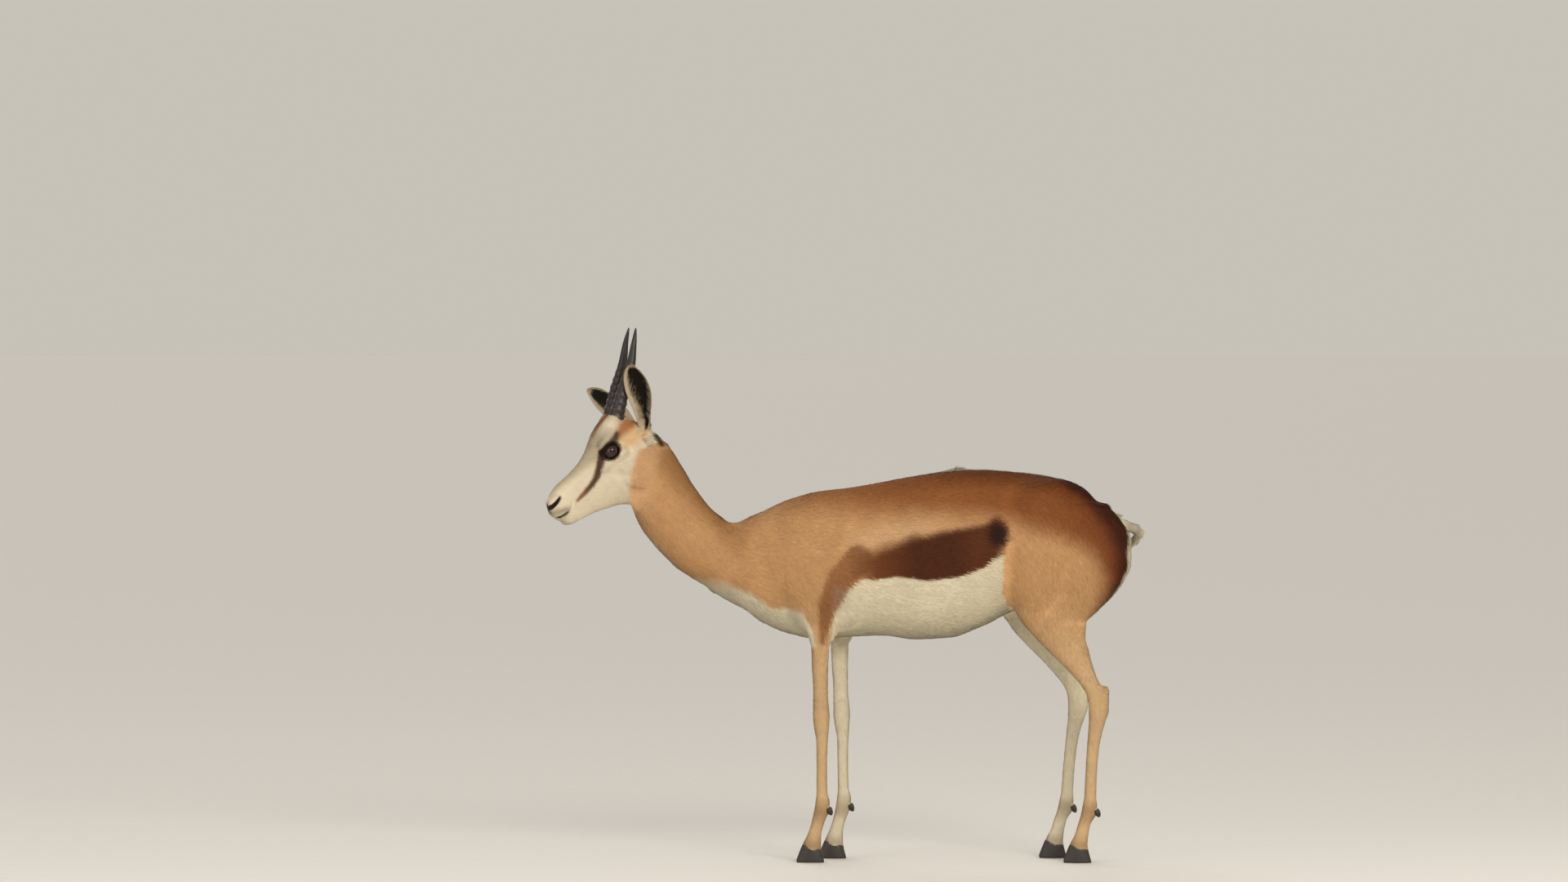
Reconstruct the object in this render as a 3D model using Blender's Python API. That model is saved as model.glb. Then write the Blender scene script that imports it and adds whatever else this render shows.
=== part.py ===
"""A springbok ewe at life size, standing still in profile, with its head turned a little to its left.

It faces -X. The flesh is a field of distances: long forms with sections that vary along them (trunk, neck,
head, limbs, tail) and rounded masses of muscle run into one another, and the zero level of that field is the
surface. Thin flat cuts part it into head, neck, torso, tail and legs. Ears, horns, eyes, claws and the tail's
locks are pieces set on that body.
"""

import math

import bmesh
import bpy
import numpy as np
import openvdb
from mathutils import Matrix, Vector

MM = 0.001

# Driving dimensions: lengths of the pieces, how the head is held and the gap left at each cut.
HEAD_YAW = math.radians(20)
HEAD_PITCH = math.radians(36.8)
EYE_RADIUS = 15 * MM
EYE_PLACE = (81, 36, 54)
EAR_LENGTH = 152 * MM
EAR_WIDTH = 54 * MM
HORN_RADIUS = 13.5 * MM
HORN_RINGS = 9
JOIN_GAP = 0.3 * MM
SOCKET_GAP = 0.4 * MM
STANCE_PLACE = (9.5, -22.9, 0)
TAIL_LOCKS = 11
LOCK_LENGTH = 62 * MM

# The head turns on the poll, and its own axes point along the muzzle, out of the crown and to its left.
POLL = np.array([-390, 0, 810]) * MM
UPWARD = np.array([0.0, 0.0, 1.0])
FORWARD = np.array([-math.cos(HEAD_YAW), -math.sin(HEAD_YAW), 0.0])
HEAD_LEFT = np.array([math.sin(HEAD_YAW), -math.cos(HEAD_YAW), 0.0])
HEAD_AXIS = math.cos(HEAD_PITCH) * FORWARD - math.sin(HEAD_PITCH) * UPWARD
HEAD_CROWN = math.sin(HEAD_PITCH) * FORWARD + math.cos(HEAD_PITCH) * UPWARD

# The neck's axis runs from under the poll down into the chest.
NECK_TOP = np.array([-390, 0, 739]) * MM
NECK_AXIS = np.array([0.692, 0, -0.722])
NECK_NAPE = np.array([0.722, 0, 0.692])

# Sections of the long forms, in mm: place along the axis, top, bottom, half-width, the level of the widest
# point, and the roundness above and below that level, where 2 is an ellipse and less is more pointed.
TRUNK = (
    (-268, 630, 536, 24, 585, 2.0, 2.0),
    (-236, 652, 511, 42, 585, 2.0, 2.0),
    (-208, 670, 492, 56, 582, 2.0, 2.0),
    (-176, 684, 468, 68, 576, 1.9, 2.0),
    (-120, 709, 444, 82, 568, 1.8, 2.0),
    (-66, 724, 434, 90, 560, 1.7, 1.9),
    (-2, 732, 438, 97, 556, 1.7, 2.0),
    (62, 743, 440, 104, 552, 1.8, 2.1),
    (126, 755, 433, 110, 550, 1.9, 2.2),
    (190, 764, 436, 111, 556, 2.0, 2.2),
    (254, 767, 457, 106, 575, 2.1, 2.2),
    (318, 763, 488, 94, 610, 2.1, 2.1),
    (382, 755, 510, 84, 645, 2.1, 2.0),
    (446, 732, 528, 72, 650, 2.1, 2.0),
    (484, 698, 548, 56, 636, 2.0, 2.0),
    (514, 665, 575, 38, 620, 2.0, 2.0),
    (534, 638, 596, 20, 616, 2.0, 2.0),
)
NECK = (
    (-60, 62, -10, 34, 22, 2.0, 2.0),
    (-32, 76, -36, 38, 14, 2.0, 2.0),
    (12, 69, -62, 41, 4, 2.0, 2.0),
    (61, 58, -77, 42, -4, 1.9, 2.0),
    (112, 52, -81, 45, -8, 1.9, 2.0),
    (142, 55, -81, 49, -8, 1.9, 2.0),
    (177, 62, -75, 55, -4, 2.0, 2.0),
    (214, 70, -65, 60, 0, 2.0, 2.0),
    (250, 70, -54, 60, 6, 2.0, 2.0),
)
HEAD = (
    (-20, 22, -8, 26, 6, 2.0, 2.0),
    (-8, 50, -26, 35, 12, 2.2, 2.0),
    (10, 82, -40, 40, 26, 2.3, 2.0),
    (30, 98, -50, 41, 40, 2.4, 1.9),
    (54, 104, -60, 42, 44, 2.4, 1.8),
    (78, 97, -65, 42, 42, 2.3, 1.8),
    (102, 83, -61, 38, 34, 2.2, 1.8),
    (122, 73, -49, 33, 26, 2.1, 1.8),
    (145, 66, -40, 27, 24, 2.1, 1.8),
    (172, 62, -31, 23.5, 26, 2.2, 1.8),
    (200, 60, -25, 22, 28, 2.4, 1.9),
    (220, 54, -20, 21.5, 28, 2.4, 2.0),
    (234, 45, -6, 18, 26, 2.3, 2.1),
    (243, 36, 8, 12, 24, 2.1, 2.1),
)

# Sections of the limbs, in mm: height, front, rear, inner and outer side, each as the leg stands.
FORELEG = (
    (560, -128, 16, 24, 84),
    (520, -116, 10, 28, 86),
    (488, -104, -2, 33, 82),
    (460, -91, -19, 38, 78),
    (440, -84, -31, 40, 76),
    (422, -79, -40, 41, 74),
    (380, -77, -43, 42, 72),
    (330, -74, -44, 42, 70),
    (306, -74, -42.5, 41, 70),
    (286, -74, -41, 41, 70),
    (262, -71.5, -42.5, 42.5, 68.5),
    (235, -67.5, -44.5, 45.5, 65.5),
    (190, -67, -46, 46, 65),
    (140, -67, -45.5, 45.5, 65.5),
    (118, -69, -41, 43, 68),
    (102, -71.5, -42, 42.5, 68.5),
    (78, -77, -51, 43.5, 67.5),
    (56, -84, -57, 41, 70),
    (36, -93, -58, 38, 73),
    (20, -96, -56, 37, 74),
)
HINDLEG = (
    (700, 330, 500, 10, 76),
    (670, 318, 526, 10, 90),
    (630, 306, 548, 10, 98),
    (590, 294, 549, 10, 101),
    (555, 289, 537, 10, 100),
    (525, 297, 516, 12, 96),
    (495, 315, 486, 18, 92),
    (470, 333, 463, 25, 89),
    (442, 357, 460, 33, 86),
    (415, 383, 466, 39, 84),
    (390, 409, 472.5, 43, 83),
    (366, 432, 480, 46, 82),
    (345, 450, 490, 48, 81),
    (330, 459, 504, 49, 81),
    (315, 463, 508, 49, 81),
    (300, 464.5, 506, 49, 81),
    (280, 465, 499, 50, 80),
    (255, 463.5, 491.5, 52, 77),
    (220, 461, 485, 53, 75),
    (170, 458, 481, 53, 75),
    (130, 456, 480, 52.5, 75.5),
    (112, 453, 481.5, 51, 77),
    (96, 450, 480, 51, 77),
    (76, 444, 469.5, 52, 76),
    (56, 438, 465, 50, 78),
    (36, 429, 463, 47, 81),
    (20, 426, 466, 46, 82),
)

# Masses of muscle and bone on each side of the body, in mm: middle, half-sizes, how far the upright one leans
# back in radians, its inward tilt as a slope, and how softly the mass runs into the ones before it.
SHOULDER_MASSES = (
    ((-84, 44, 602), (46, 31, 88), -0.42, 0.20, 0),
    ((-66, 60, 530), (58, 29, 60), 0.50, 0.0, 34),
)
HAUNCH_MASSES = (
    ((402, 50, 656), (92, 46, 88), -0.20, 0.0, 0),
    ((488, 42, 612), (50, 42, 66), 0.10, 0.0, 30),
    ((352, 66, 566), (42, 35, 88), -0.30, 0.0, 30),
    ((448, 64, 580), (56, 39, 96), 0.12, 0.0, 26),
    ((352, 62, 712), (24, 15, 15), 0.0, 0.0, 26),
)
FORELEG_MASSES = (
    ((-8, 62, 492), (20, 14, 26), 0.4, 0.0, 16),
    ((-41, 47.5, 101), (5, 5, 7.5), -0.3, 0.0, 4),
    ((-41, 63.5, 101), (5, 5, 7.5), -0.3, 0.0, 4),
)
HINDLEG_MASSES = (
    ((500, 65, 330), (9.5, 8, 15), 0.25, 0.0, 10),
    ((482, 56, 98), (5, 5, 7.5), -0.3, 0.0, 4),
    ((482, 72, 98), (5, 5, 7.5), -0.3, 0.0, 4),
)
# The hollow before the hamstring's tendon on either face of the hind leg: both ends, radii and blend, in mm.
TENDON_HOLLOWS = (
    ((452, 94, 436), (488, 91, 352), 9, 9, 9),
    ((458, 30, 420), (488, 40, 352), 7, 8, 9),
)

# The head's own masses in its axes, as above, and its rods: both ends, both radii and blend, in mm.
HEAD_MASSES = (
    ((56, 30, -4), (38, 13, 42), 0.25, 0.0, 14),
    ((76, 36, 73), (22, 12, 9), 0.15, 0.0, 14),
    ((32, 17, 96), (19, 15, 12), 0.0, 0.0, 12),
    ((223, 12, 19), (19, 10, 10), 0.0, 0.0, 8),
    ((219, 6, -9), (16, 10, 9), 0.0, 0.0, 8),
)
CHEEK_BONE = ((62, 42, 38), (118, 30, 34), 5, 3, 14)
NOSTRIL_WING = ((220, 15, 43), (234, 11, 40), 6.5, 5, 7)
NOSTRIL = ((243, 8, 36), (222, 21, 41), 3.2, 1.6, 3)
LIP_PARTING = ((262, 0, 14), (256, 0, 31), 1.6, 1.6, 2)
MOUTH_LINE = ((260, 5, 14), (236, 14, 9), (218, 22, 7), (205, 25, 10))
MOUTH_DEPTHS = (0, 6)
MOUTH_THICKNESS = (1.3, 1.1, 1.2)
LID_THICKNESS = 2.6
LID_BLEND = 7
LID_OPENING = (16, 12)
LID_POWERS = (1.8, 2.2)
LID_TILT = 0.22
LID_DEPTH = 2
LID_SHIFT = 1

# How far each limb is shifted along X at the ground and at the given height, on the near (left) and far side.
FORE_SHIFT = {-1: (0.0, 0.0), 1: (44.0, 38.0)}
HIND_SHIFT = {-1: (0.0, 0.0), 1: (-45.0, -30.0)}
SHIFT_HEIGHT = 500.0
SHIFT_FADE = 90.0

# The tail's middle line swings off to the far side, in mm, with its radius at each place.
TAIL = (
    (500, 2, 668, 15),
    (532, 6, 658, 12),
    (556, 20, 650, 10.5),
    (568, 44, 640, 9.5),
    (560, 74, 625, 9),
    (542, 100, 606, 8.5),
    (520, 120, 586, 8),
)
TAIL_ROOT_PLACES = 3
TAIL_BLEND = 4
FORELEG_ROUNDNESS = 2.1
HINDLEG_ROUNDNESS = 2.15


def pchip(table, step):
    """The table's columns at every step of its first one, on curves that pass its rows and never overshoot."""
    table = np.array(table, float)
    place = table[:, 0]
    if place[0] > place[-1]:
        table = table[::-1]
        place = table[:, 0]
    count = max(2, int(abs(place[-1] - place[0]) / step))
    fine = np.linspace(place[0], place[-1], count)
    width = np.diff(place)
    columns = [fine]
    index = np.clip(np.searchsorted(place, fine) - 1, 0, len(place) - 2)
    t = (fine - place[index]) / width[index]
    for values in table[:, 1:].T:
        slope = np.diff(values) / width
        bend = np.zeros(len(place))
        same = slope[1:] * slope[:-1] > 0
        total = np.where(same, slope[1:] + slope[:-1], 1.0)
        bend[1:-1] = np.where(same, 2 * slope[1:] * slope[:-1] / total, 0.0)
        bend[0] = slope[0]
        bend[-1] = slope[-1]
        low = values[index]
        high = values[index + 1]
        curve = low * (1 + 2 * t) * (1 - t) ** 2 + high * t**2 * (3 - 2 * t)
        curve += width[index] * (bend[index] * t * (1 - t) ** 2 - bend[index + 1] * t**2 * (1 - t))
        columns.append(curve)
    return np.array(columns)


def smooth_min(a, b, blend):
    """The lesser of two distances, rounded where they are within the blend of one another."""
    near = np.maximum(blend - np.abs(a - b), 0) / blend
    return np.minimum(a, b) - near * near * blend * 0.25


def smooth_max(a, b, blend):
    return -smooth_min(-a, -b, blend)


def section_distance(across, level, half, reach, power):
    """About the distance from a rounded section with these half sizes, less than zero inside it."""
    u = np.abs(across) / half
    v = np.abs(level) / reach
    radial = np.maximum(u**power + v**power, 1e-6) ** (1 / power)
    slope = np.hypot(u ** (power - 1) / half, v ** (power - 1) / reach) * radial ** (1 - power)
    return (radial - 1) / np.maximum(slope, 1.0)


def lofted(along, across, up, form):
    """Distance from a form whose sections stand across its axis and end flat at the first and last."""
    place, top, bottom, half, mid, above, below = form
    top, bottom, half, mid, above, below = (
        np.interp(along, place, column) for column in (top, bottom, half, mid, above, below)
    )
    level = up - mid
    reach = np.where(level > 0, top - mid, mid - bottom)
    power = np.where(level > 0, above, below)
    distance = section_distance(across, level, half, reach, power)
    past = np.maximum(place[0] - along, along - place[-1])
    return np.where(past > 0, np.hypot(np.maximum(distance, 0), past), np.maximum(distance, past))


def ellipsoid(x, y, z, centre, radii, lean, tilt):
    """Distance from an ellipsoid, its upright axis leaning back in the body's plane and tilting inward."""
    centre = [v * MM for v in centre]
    radii = [v * MM for v in radii]
    dx = x - centre[0]
    dz = z - centre[2]
    c = math.cos(lean)
    s = math.sin(lean)
    a = (dx * c - dz * s) / radii[0]
    b = (y - centre[1] + tilt * dz) / radii[1]
    d = (dx * s + dz * c) / radii[2]
    radial = np.sqrt(a * a + b * b + d * d)
    steepness = np.sqrt((a / radii[0]) ** 2 + (b / radii[1]) ** 2 + (d / radii[2]) ** 2)
    slope = steepness / np.maximum(radial, 1e-6)
    return (radial - 1) / np.maximum(slope, 1.0)


def with_masses(distance, x, y, z, rows):
    """The distance with each of these masses run into it."""
    for centre, radii, lean, tilt, blend in rows:
        mass = ellipsoid(x, y, z, centre, radii, lean, tilt)
        distance = mass if distance is None else smooth_min(distance, mass, blend * MM)
    return distance


def rod(x, y, z, start, end, thick_start, thick_end):
    """Distance from a rod with round ends and a radius that changes evenly along it, its sizes in mm."""
    start = [v * MM for v in start]
    end = [v * MM for v in end]
    thick_start *= MM
    thick_end *= MM
    step = [e - s for s, e in zip(start, end)]
    squared = sum(v * v for v in step)
    gaps = [coordinate - first for coordinate, first in zip((x, y, z), start)]
    t = np.clip(sum(gap * v for gap, v in zip(gaps, step)) / squared, 0, 1)
    away = np.sqrt(sum((gap - t * v) ** 2 for gap, v in zip(gaps, step)))
    return away - thick_start - (thick_end - thick_start) * t


def scaled(table, step, *kept):
    """A table of mm as fine columns of metres; the kept columns hold no lengths and stay as they are."""
    fine = pchip(table, step)
    for index in range(len(fine)):
        if index not in kept:
            fine[index] *= MM
    return fine


TRUNK_FORM = scaled(TRUNK, 4, 5, 6)
NECK_FORM = scaled(NECK, 4, 5, 6)
HEAD_FORM = scaled(HEAD, 2, 5, 6)
FORELEG_FORM = scaled(FORELEG, 2)
HINDLEG_FORM = scaled(HINDLEG, 2)


def limb_shift(z, shift):
    """How far a leg of this side stands from the tabled one at height z."""
    height = np.clip(z / (SHIFT_HEIGHT * MM), 0, 1)
    fade = np.clip((SHIFT_HEIGHT * MM + SHIFT_FADE * MM - z) / (SHIFT_FADE * MM), 0, 1)
    return (shift[0] + (shift[1] - shift[0]) * height) * MM * fade


def limb(x, y, z, form, side, shift, power):
    """Distance from a leg, whose sections lie level."""
    place, front, rear, inner, outer = form
    offset = limb_shift(z, shift)
    front = np.interp(z, place, front) + offset
    rear = np.interp(z, place, rear) + offset
    inner = np.interp(z, place, inner)
    outer = np.interp(z, place, outer)
    distance = section_distance(
        x - (front + rear) / 2, side * y - (inner + outer) / 2, (rear - front) / 2, (outer - inner) / 2, power
    )
    past = np.maximum(place[0] - z, z - place[-1])
    return np.where(past > 0, np.hypot(np.maximum(distance, 0), past), np.maximum(distance, past))


def foreleg(x, y, z, side):
    """A foreleg with the point of its elbow, the swell of the forearm, the carpus and the dew claws."""
    distance = limb(x, y, z, FORELEG_FORM, side, FORE_SHIFT[side], FORELEG_ROUNDNESS)
    return with_masses(distance, x - limb_shift(z, FORE_SHIFT[side]), side * y, z, FORELEG_MASSES)


def hindleg(x, y, z, side):
    """A hind leg with its haunch, the point of the hock, the hollow before its tendon and the dew claws."""
    distance = limb(x, y, z, HINDLEG_FORM, side, HIND_SHIFT[side], HINDLEG_ROUNDNESS)
    own_x = x - limb_shift(z, HIND_SHIFT[side])
    distance = with_masses(distance, own_x, side * y, z, HINDLEG_MASSES)
    for start, end, thick_start, thick_end, blend in TENDON_HOLLOWS:
        hollow = rod(own_x, side * y, z, start, end, thick_start, thick_end)
        distance = smooth_max(distance, -hollow, blend * MM)
    return distance


def trunk(x, y, z):
    return lofted(x, y, z, TRUNK_FORM)


def shoulders(x, y, z):
    """Both shoulder blades with the muscle of the upper arm, as one form on each side."""
    return with_masses(None, x, np.abs(y), z, SHOULDER_MASSES)


def haunches(x, y, z):
    """The rounded muscle over each hip, the front and back of the thigh and the point of the hip bone."""
    return with_masses(None, x, np.abs(y), z, HAUNCH_MASSES)


def neck(x, y, z):
    dx = x - NECK_TOP[0]
    dz = z - NECK_TOP[2]
    return lofted(dx * NECK_AXIS[0] + dz * NECK_AXIS[2], y, dx * NECK_NAPE[0] + dz * NECK_NAPE[2], NECK_FORM)


def tail(x, y, z, places=TAIL):
    """The tail's fleshy stem, as rods set end to end."""
    distance = None
    for start, end in zip(places[:-1], places[1:]):
        piece = rod(x, y, z, start[:3], end[:3], start[3], end[3])
        distance = piece if distance is None else smooth_min(distance, piece, TAIL_BLEND * MM)
    return distance


def tail_root(x, y, z):
    """The tail's first stretch, which stays with the torso."""
    return tail(x, y, z, TAIL[:TAIL_ROOT_PLACES])


def in_head(x, y, z):
    """Places in the head's own axes: along the muzzle, to either side and out of the crown."""
    dx = x - POLL[0]
    dy = y - POLL[1]
    dz = z - POLL[2]
    along = dx * HEAD_AXIS[0] + dy * HEAD_AXIS[1] + dz * HEAD_AXIS[2]
    aside = dx * HEAD_LEFT[0] + dy * HEAD_LEFT[1] + dz * HEAD_LEFT[2]
    crown = dx * HEAD_CROWN[0] + dy * HEAD_CROWN[1] + dz * HEAD_CROWN[2]
    return along, aside, crown


def head_to_world(place):
    """The world place of a point given in mm along the head's own axes."""
    along, aside, crown = (v * MM for v in place)
    return POLL + along * HEAD_AXIS + aside * HEAD_LEFT + crown * HEAD_CROWN


def lid_opening(a, side, c):
    """The almond between the lids, sunk from the side of the head to a little outside the eye's middle."""
    along = a - EYE_PLACE[0] * MM + LID_SHIFT * MM
    up = c - EYE_PLACE[2] * MM
    long_way = (along * math.cos(LID_TILT) - up * math.sin(LID_TILT)) / (LID_OPENING[0] * MM)
    short_way = (along * math.sin(LID_TILT) + up * math.cos(LID_TILT)) / (LID_OPENING[1] * MM)
    rim = (np.abs(long_way) ** LID_POWERS[0] + np.abs(short_way) ** LID_POWERS[1]) ** 0.5 - 1
    return np.maximum(rim * LID_OPENING[1] * MM, (EYE_PLACE[1] + LID_DEPTH) * MM - side)


def head(x, y, z):
    """The skull and muzzle with brows, cheeks, jaw, lips, mouth line, nostrils and lids."""
    a, s, c = in_head(x, y, z)
    side = np.abs(s)
    skull = with_masses(lofted(a, s, c, HEAD_FORM), a, side, c, HEAD_MASSES)
    for start, end, thick_start, thick_end, blend in (CHEEK_BONE, NOSTRIL_WING):
        skull = smooth_min(skull, rod(a, side, c, start, end, thick_start, thick_end), blend * MM)
    for start, end, thick_start, thick_end, blend in (NOSTRIL, LIP_PARTING):
        skull = smooth_max(skull, -rod(a, side, c, start, end, thick_start, thick_end), blend * MM)
    thick_start, thick_end, blend = MOUTH_THICKNESS
    for start, end in zip(MOUTH_LINE[:-1], MOUTH_LINE[1:]):
        for deeper in MOUTH_DEPTHS:
            outer_start = (start[0], start[1] + deeper, start[2])
            outer_end = (end[0], end[1] + deeper, end[2])
            slit = rod(a, side, c, outer_start, outer_end, thick_start, thick_end)
            skull = smooth_max(skull, -slit, blend * MM)
    gaps = [coordinate - place * MM for coordinate, place in zip((a, side, c), EYE_PLACE)]
    from_eye = np.sqrt(gaps[0] ** 2 + gaps[1] ** 2 + gaps[2] ** 2)
    skull = smooth_min(skull, from_eye - EYE_RADIUS - LID_THICKNESS * MM, LID_BLEND * MM)
    return smooth_max(skull, -lid_opening(a, side, c), LID_DEPTH * MM)


# Every form of the flesh, the box in mm that holds it and how softly it runs into the forms before it.
FORMS = (
    (trunk, (-320, 600, -150, 150, 390, 830), 10),
    (shoulders, (-260, 140, -150, 150, 400, 800), 30),
    (haunches, (200, 620, -150, 150, 420, 800), 34),
    (neck, (-480, -90, -110, 110, 420, 900), 26),
    (lambda x, y, z: foreleg(x, y, z, -1), (-200, 110, -130, 8, -10, 620), 14),
    (lambda x, y, z: foreleg(x, y, z, 1), (-200, 140, -8, 130, -10, 620), 14),
    (lambda x, y, z: hindleg(x, y, z, -1), (190, 600, -150, 15, -10, 760), 18),
    (lambda x, y, z: hindleg(x, y, z, 1), (160, 600, -15, 150, -10, 760), 18),
    (tail_root, (460, 600, -30, 80, 600, 720), 12),
    (head, (-650, -350, -130, 110, 620, 940), 18),
)
TAIL_ONLY = ((tail, (460, 610, -30, 170, 540, 720), 12),)
NO_TAIL = tuple(row for row in FORMS if row[0] is not tail_root)
FAR_AWAY = 60 * MM


def flesh_field(box, step, forms):
    """The field of these forms over a box in mm, closed off at the box's sides."""
    axes = [np.arange(low, high + step, step) * MM for low, high in zip(box[::2], box[1::2])]
    field = np.full([len(axis) for axis in axes], FAR_AWAY)
    for form, reach, blend in forms:
        spans = []
        for axis, low, high in zip(axes, reach[::2], reach[1::2]):
            spans.append(slice(*np.searchsorted(axis, (low * MM, high * MM))))
        if any(span.start >= span.stop for span in spans):
            continue
        x, y, z = (axis[span] for axis, span in zip(axes, spans))
        distance = form(x[:, None, None], y[None, :, None], z[None, None, :])
        field[tuple(spans)] = smooth_min(field[tuple(spans)], distance, blend * MM)
    for axis in range(3):
        ends = [slice(None)] * 3
        for end in (0, -1):
            ends[axis] = end
            field[tuple(ends)] = np.maximum(field[tuple(ends)], step * MM)
    return field, np.array([axis[0] for axis in axes])


def signed_volume(points, faces):
    corners = points[faces]
    volume = 0.0
    for second in range(1, faces.shape[1] - 1):
        crossed = np.cross(corners[:, second], corners[:, second + 1])
        volume += np.einsum("ij,ij->i", corners[:, 0], crossed).sum()
    return volume / 6


def field_mesh(name, box, step, forms):
    """The zero level of the forms' field over a box, as a mesh of small quads that face outward."""
    field, corner = flesh_field(box, step, forms)
    grid = openvdb.FloatGrid(FAR_AWAY)
    grid.copyFromArray(field.astype(np.float32))
    points, quads = grid.convertToQuads(0.0)
    points = points.astype(float) * step * MM + corner
    if signed_volume(points, quads) < 0:
        quads = quads[:, ::-1]
    mesh = bpy.data.meshes.new(name)
    mesh.from_pydata(points.tolist(), [], quads.tolist())
    return mesh


def put(mesh, name, collection):
    obj = bpy.data.objects.new(name, mesh)
    collection.objects.link(obj)
    return obj


def evaluated_mesh(obj):
    """The object's mesh with its modifiers carried out."""
    bpy.context.view_layer.update()
    graph = bpy.context.evaluated_depsgraph_get()
    return bpy.data.meshes.new_from_object(obj.evaluated_get(graph))


def carry_out(obj):
    """Makes the modifiers' result the object's own mesh."""
    mesh = evaluated_mesh(obj)
    old = obj.data
    obj.modifiers.clear()
    obj.data = mesh
    mesh.name = obj.name
    bpy.data.meshes.remove(old)


def keep_largest(mesh):
    """Removes every closed surface of the mesh but the one that holds the most."""
    built = bmesh.new()
    built.from_mesh(mesh)
    left = set(built.verts)
    shells = []
    while left:
        stack = [left.pop()]
        shell = set(stack)
        while stack:
            for edge in stack.pop().link_edges:
                for vert in edge.verts:
                    if vert in left:
                        left.discard(vert)
                        shell.add(vert)
                        stack.append(vert)
        shells.append(shell)
    shells.sort(key=len)
    for shell in shells[:-1]:
        bmesh.ops.delete(built, geom=list(shell), context="VERTS")
    bmesh.ops.triangulate(built, faces=built.faces[:])
    built.to_mesh(mesh)
    built.free()


def shaded_smooth(mesh, angle=math.radians(50)):
    mesh.polygons.foreach_set("use_smooth", np.ones(len(mesh.polygons), bool))
    mesh.set_sharp_from_angle(angle=angle)


def half_spaces(name, planes, collection, inset=JOIN_GAP / 2):
    """A convex cutter: all that lies behind every plane, each a point in mm and a direction, less an inset."""
    built = bmesh.new()
    bmesh.ops.create_cube(built, size=4.0)
    for point, direction in planes:
        normal = Vector(direction).normalized()
        place = Vector(point) * MM - normal * inset
        geometry = built.verts[:] + built.edges[:] + built.faces[:]
        bmesh.ops.bisect_plane(built, geom=geometry, plane_co=place, plane_no=normal, clear_outer=True)
        rim = [edge for edge in built.edges if edge.is_boundary]
        bmesh.ops.contextual_create(built, geom=rim)
    bmesh.ops.recalc_face_normals(built, faces=built.faces[:])
    mesh = bpy.data.meshes.new(name)
    built.to_mesh(mesh)
    built.free()
    cutter = put(mesh, name, collection)
    cutter.hide_render = True
    cutter.display_type = "WIRE"
    return cutter


def turned(planes):
    """The same planes seen from their other side, for the piece that meets this one there."""
    return [(point, [-v for v in direction]) for point, direction in planes]


def boolean(obj, other, operation, solver="MANIFOLD"):
    modifier = obj.modifiers.new(other.name, "BOOLEAN")
    modifier.object = other
    modifier.operation = operation
    modifier.solver = solver


def node(name, box, step, triangles, planes, forms, taken_out=()):
    """One node of the flesh: the forms' surface over a box, made sparser, kept behind the planes."""
    obj = put(field_mesh(name, box, step, forms), name, parts)
    fine = len(obj.data.polygons) * 2
    sparser = obj.modifiers.new("sparser", "DECIMATE")
    sparser.ratio = min(1.0, triangles / fine)
    sparser.use_collapse_triangulate = True
    carry_out(obj)
    keep_largest(obj.data)
    boolean(obj, half_spaces(name + "_bounds", planes, cutters), "INTERSECT")
    for cutter in taken_out:
        boolean(obj, cutter, "DIFFERENCE")
    carry_out(obj)
    keep_largest(obj.data)
    shaded_smooth(obj.data)
    return obj


def loft(name, sections, material, collection):
    """A closed surface through rings of the same number of points, its first and last ring capped."""
    sections = np.array(sections, float)
    rings, around = sections.shape[:2]
    ring = np.arange(rings - 1)[:, None] * around
    step = np.arange(around)[None, :]
    after = (step + 1) % around
    corners = (ring + step, ring + after, ring + around + after, ring + around + step)
    quads = np.stack(corners, -1).reshape(-1, 4)
    faces = quads.tolist()
    faces.append(list(range(around))[::-1])
    faces.append(list(range((rings - 1) * around, rings * around)))
    mesh = bpy.data.meshes.new(name)
    mesh.from_pydata(sections.reshape(-1, 3).tolist(), [], faces)
    built = bmesh.new()
    built.from_mesh(mesh)
    bmesh.ops.triangulate(built, faces=built.faces[:])
    bmesh.ops.recalc_face_normals(built, faces=built.faces[:])
    built.to_mesh(mesh)
    built.free()
    shaded_smooth(mesh)
    obj = put(mesh, name, collection)
    if material:
        mesh.materials.append(material)
    return obj


def swollen(obj, by, collection):
    """A cutter of the same shape, a little larger all round."""
    mesh = obj.data.copy()
    mesh.name = obj.name + "_socket"
    count = len(mesh.vertices)
    points = np.empty(count * 3)
    normals = np.empty(count * 3)
    mesh.vertices.foreach_get("co", points)
    mesh.vertex_normals.foreach_get("vector", normals)
    mesh.vertices.foreach_set("co", points + normals * by)
    cutter = put(mesh, mesh.name, collection)
    cutter.location = obj.location
    cutter.rotation_euler = obj.rotation_euler
    cutter.hide_render = True
    cutter.display_type = "WIRE"
    return cutter


def principled(name, colour, roughness, metallic=0.0):
    """A plain material, its colour given as an sRGB hex value."""
    material = bpy.data.materials.new(name)
    material.use_nodes = True
    shader = material.node_tree.nodes["Principled BSDF"]
    channels = [int(colour[i : i + 2], 16) / 255 for i in (0, 2, 4)]
    linear = [v / 12.92 if v <= 0.04045 else ((v + 0.055) / 1.055) ** 2.4 for v in channels]
    shader.inputs["Base Color"].default_value = (*linear, 1)
    shader.inputs["Roughness"].default_value = roughness
    shader.inputs["Metallic"].default_value = metallic
    material.diffuse_color = (*linear, 1)
    material.roughness = roughness
    return material


def moved_to(obj, place, parent):
    """Gives the object its origin at this place without moving its surface, and its parent."""
    obj.data.transform(Matrix.Translation(-Vector(place)))
    obj.location = place
    obj.parent = parent


for old in list(bpy.data.objects):
    bpy.data.objects.remove(old, do_unlink=True)
for old in list(bpy.data.collections):
    bpy.data.collections.remove(old)

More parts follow.
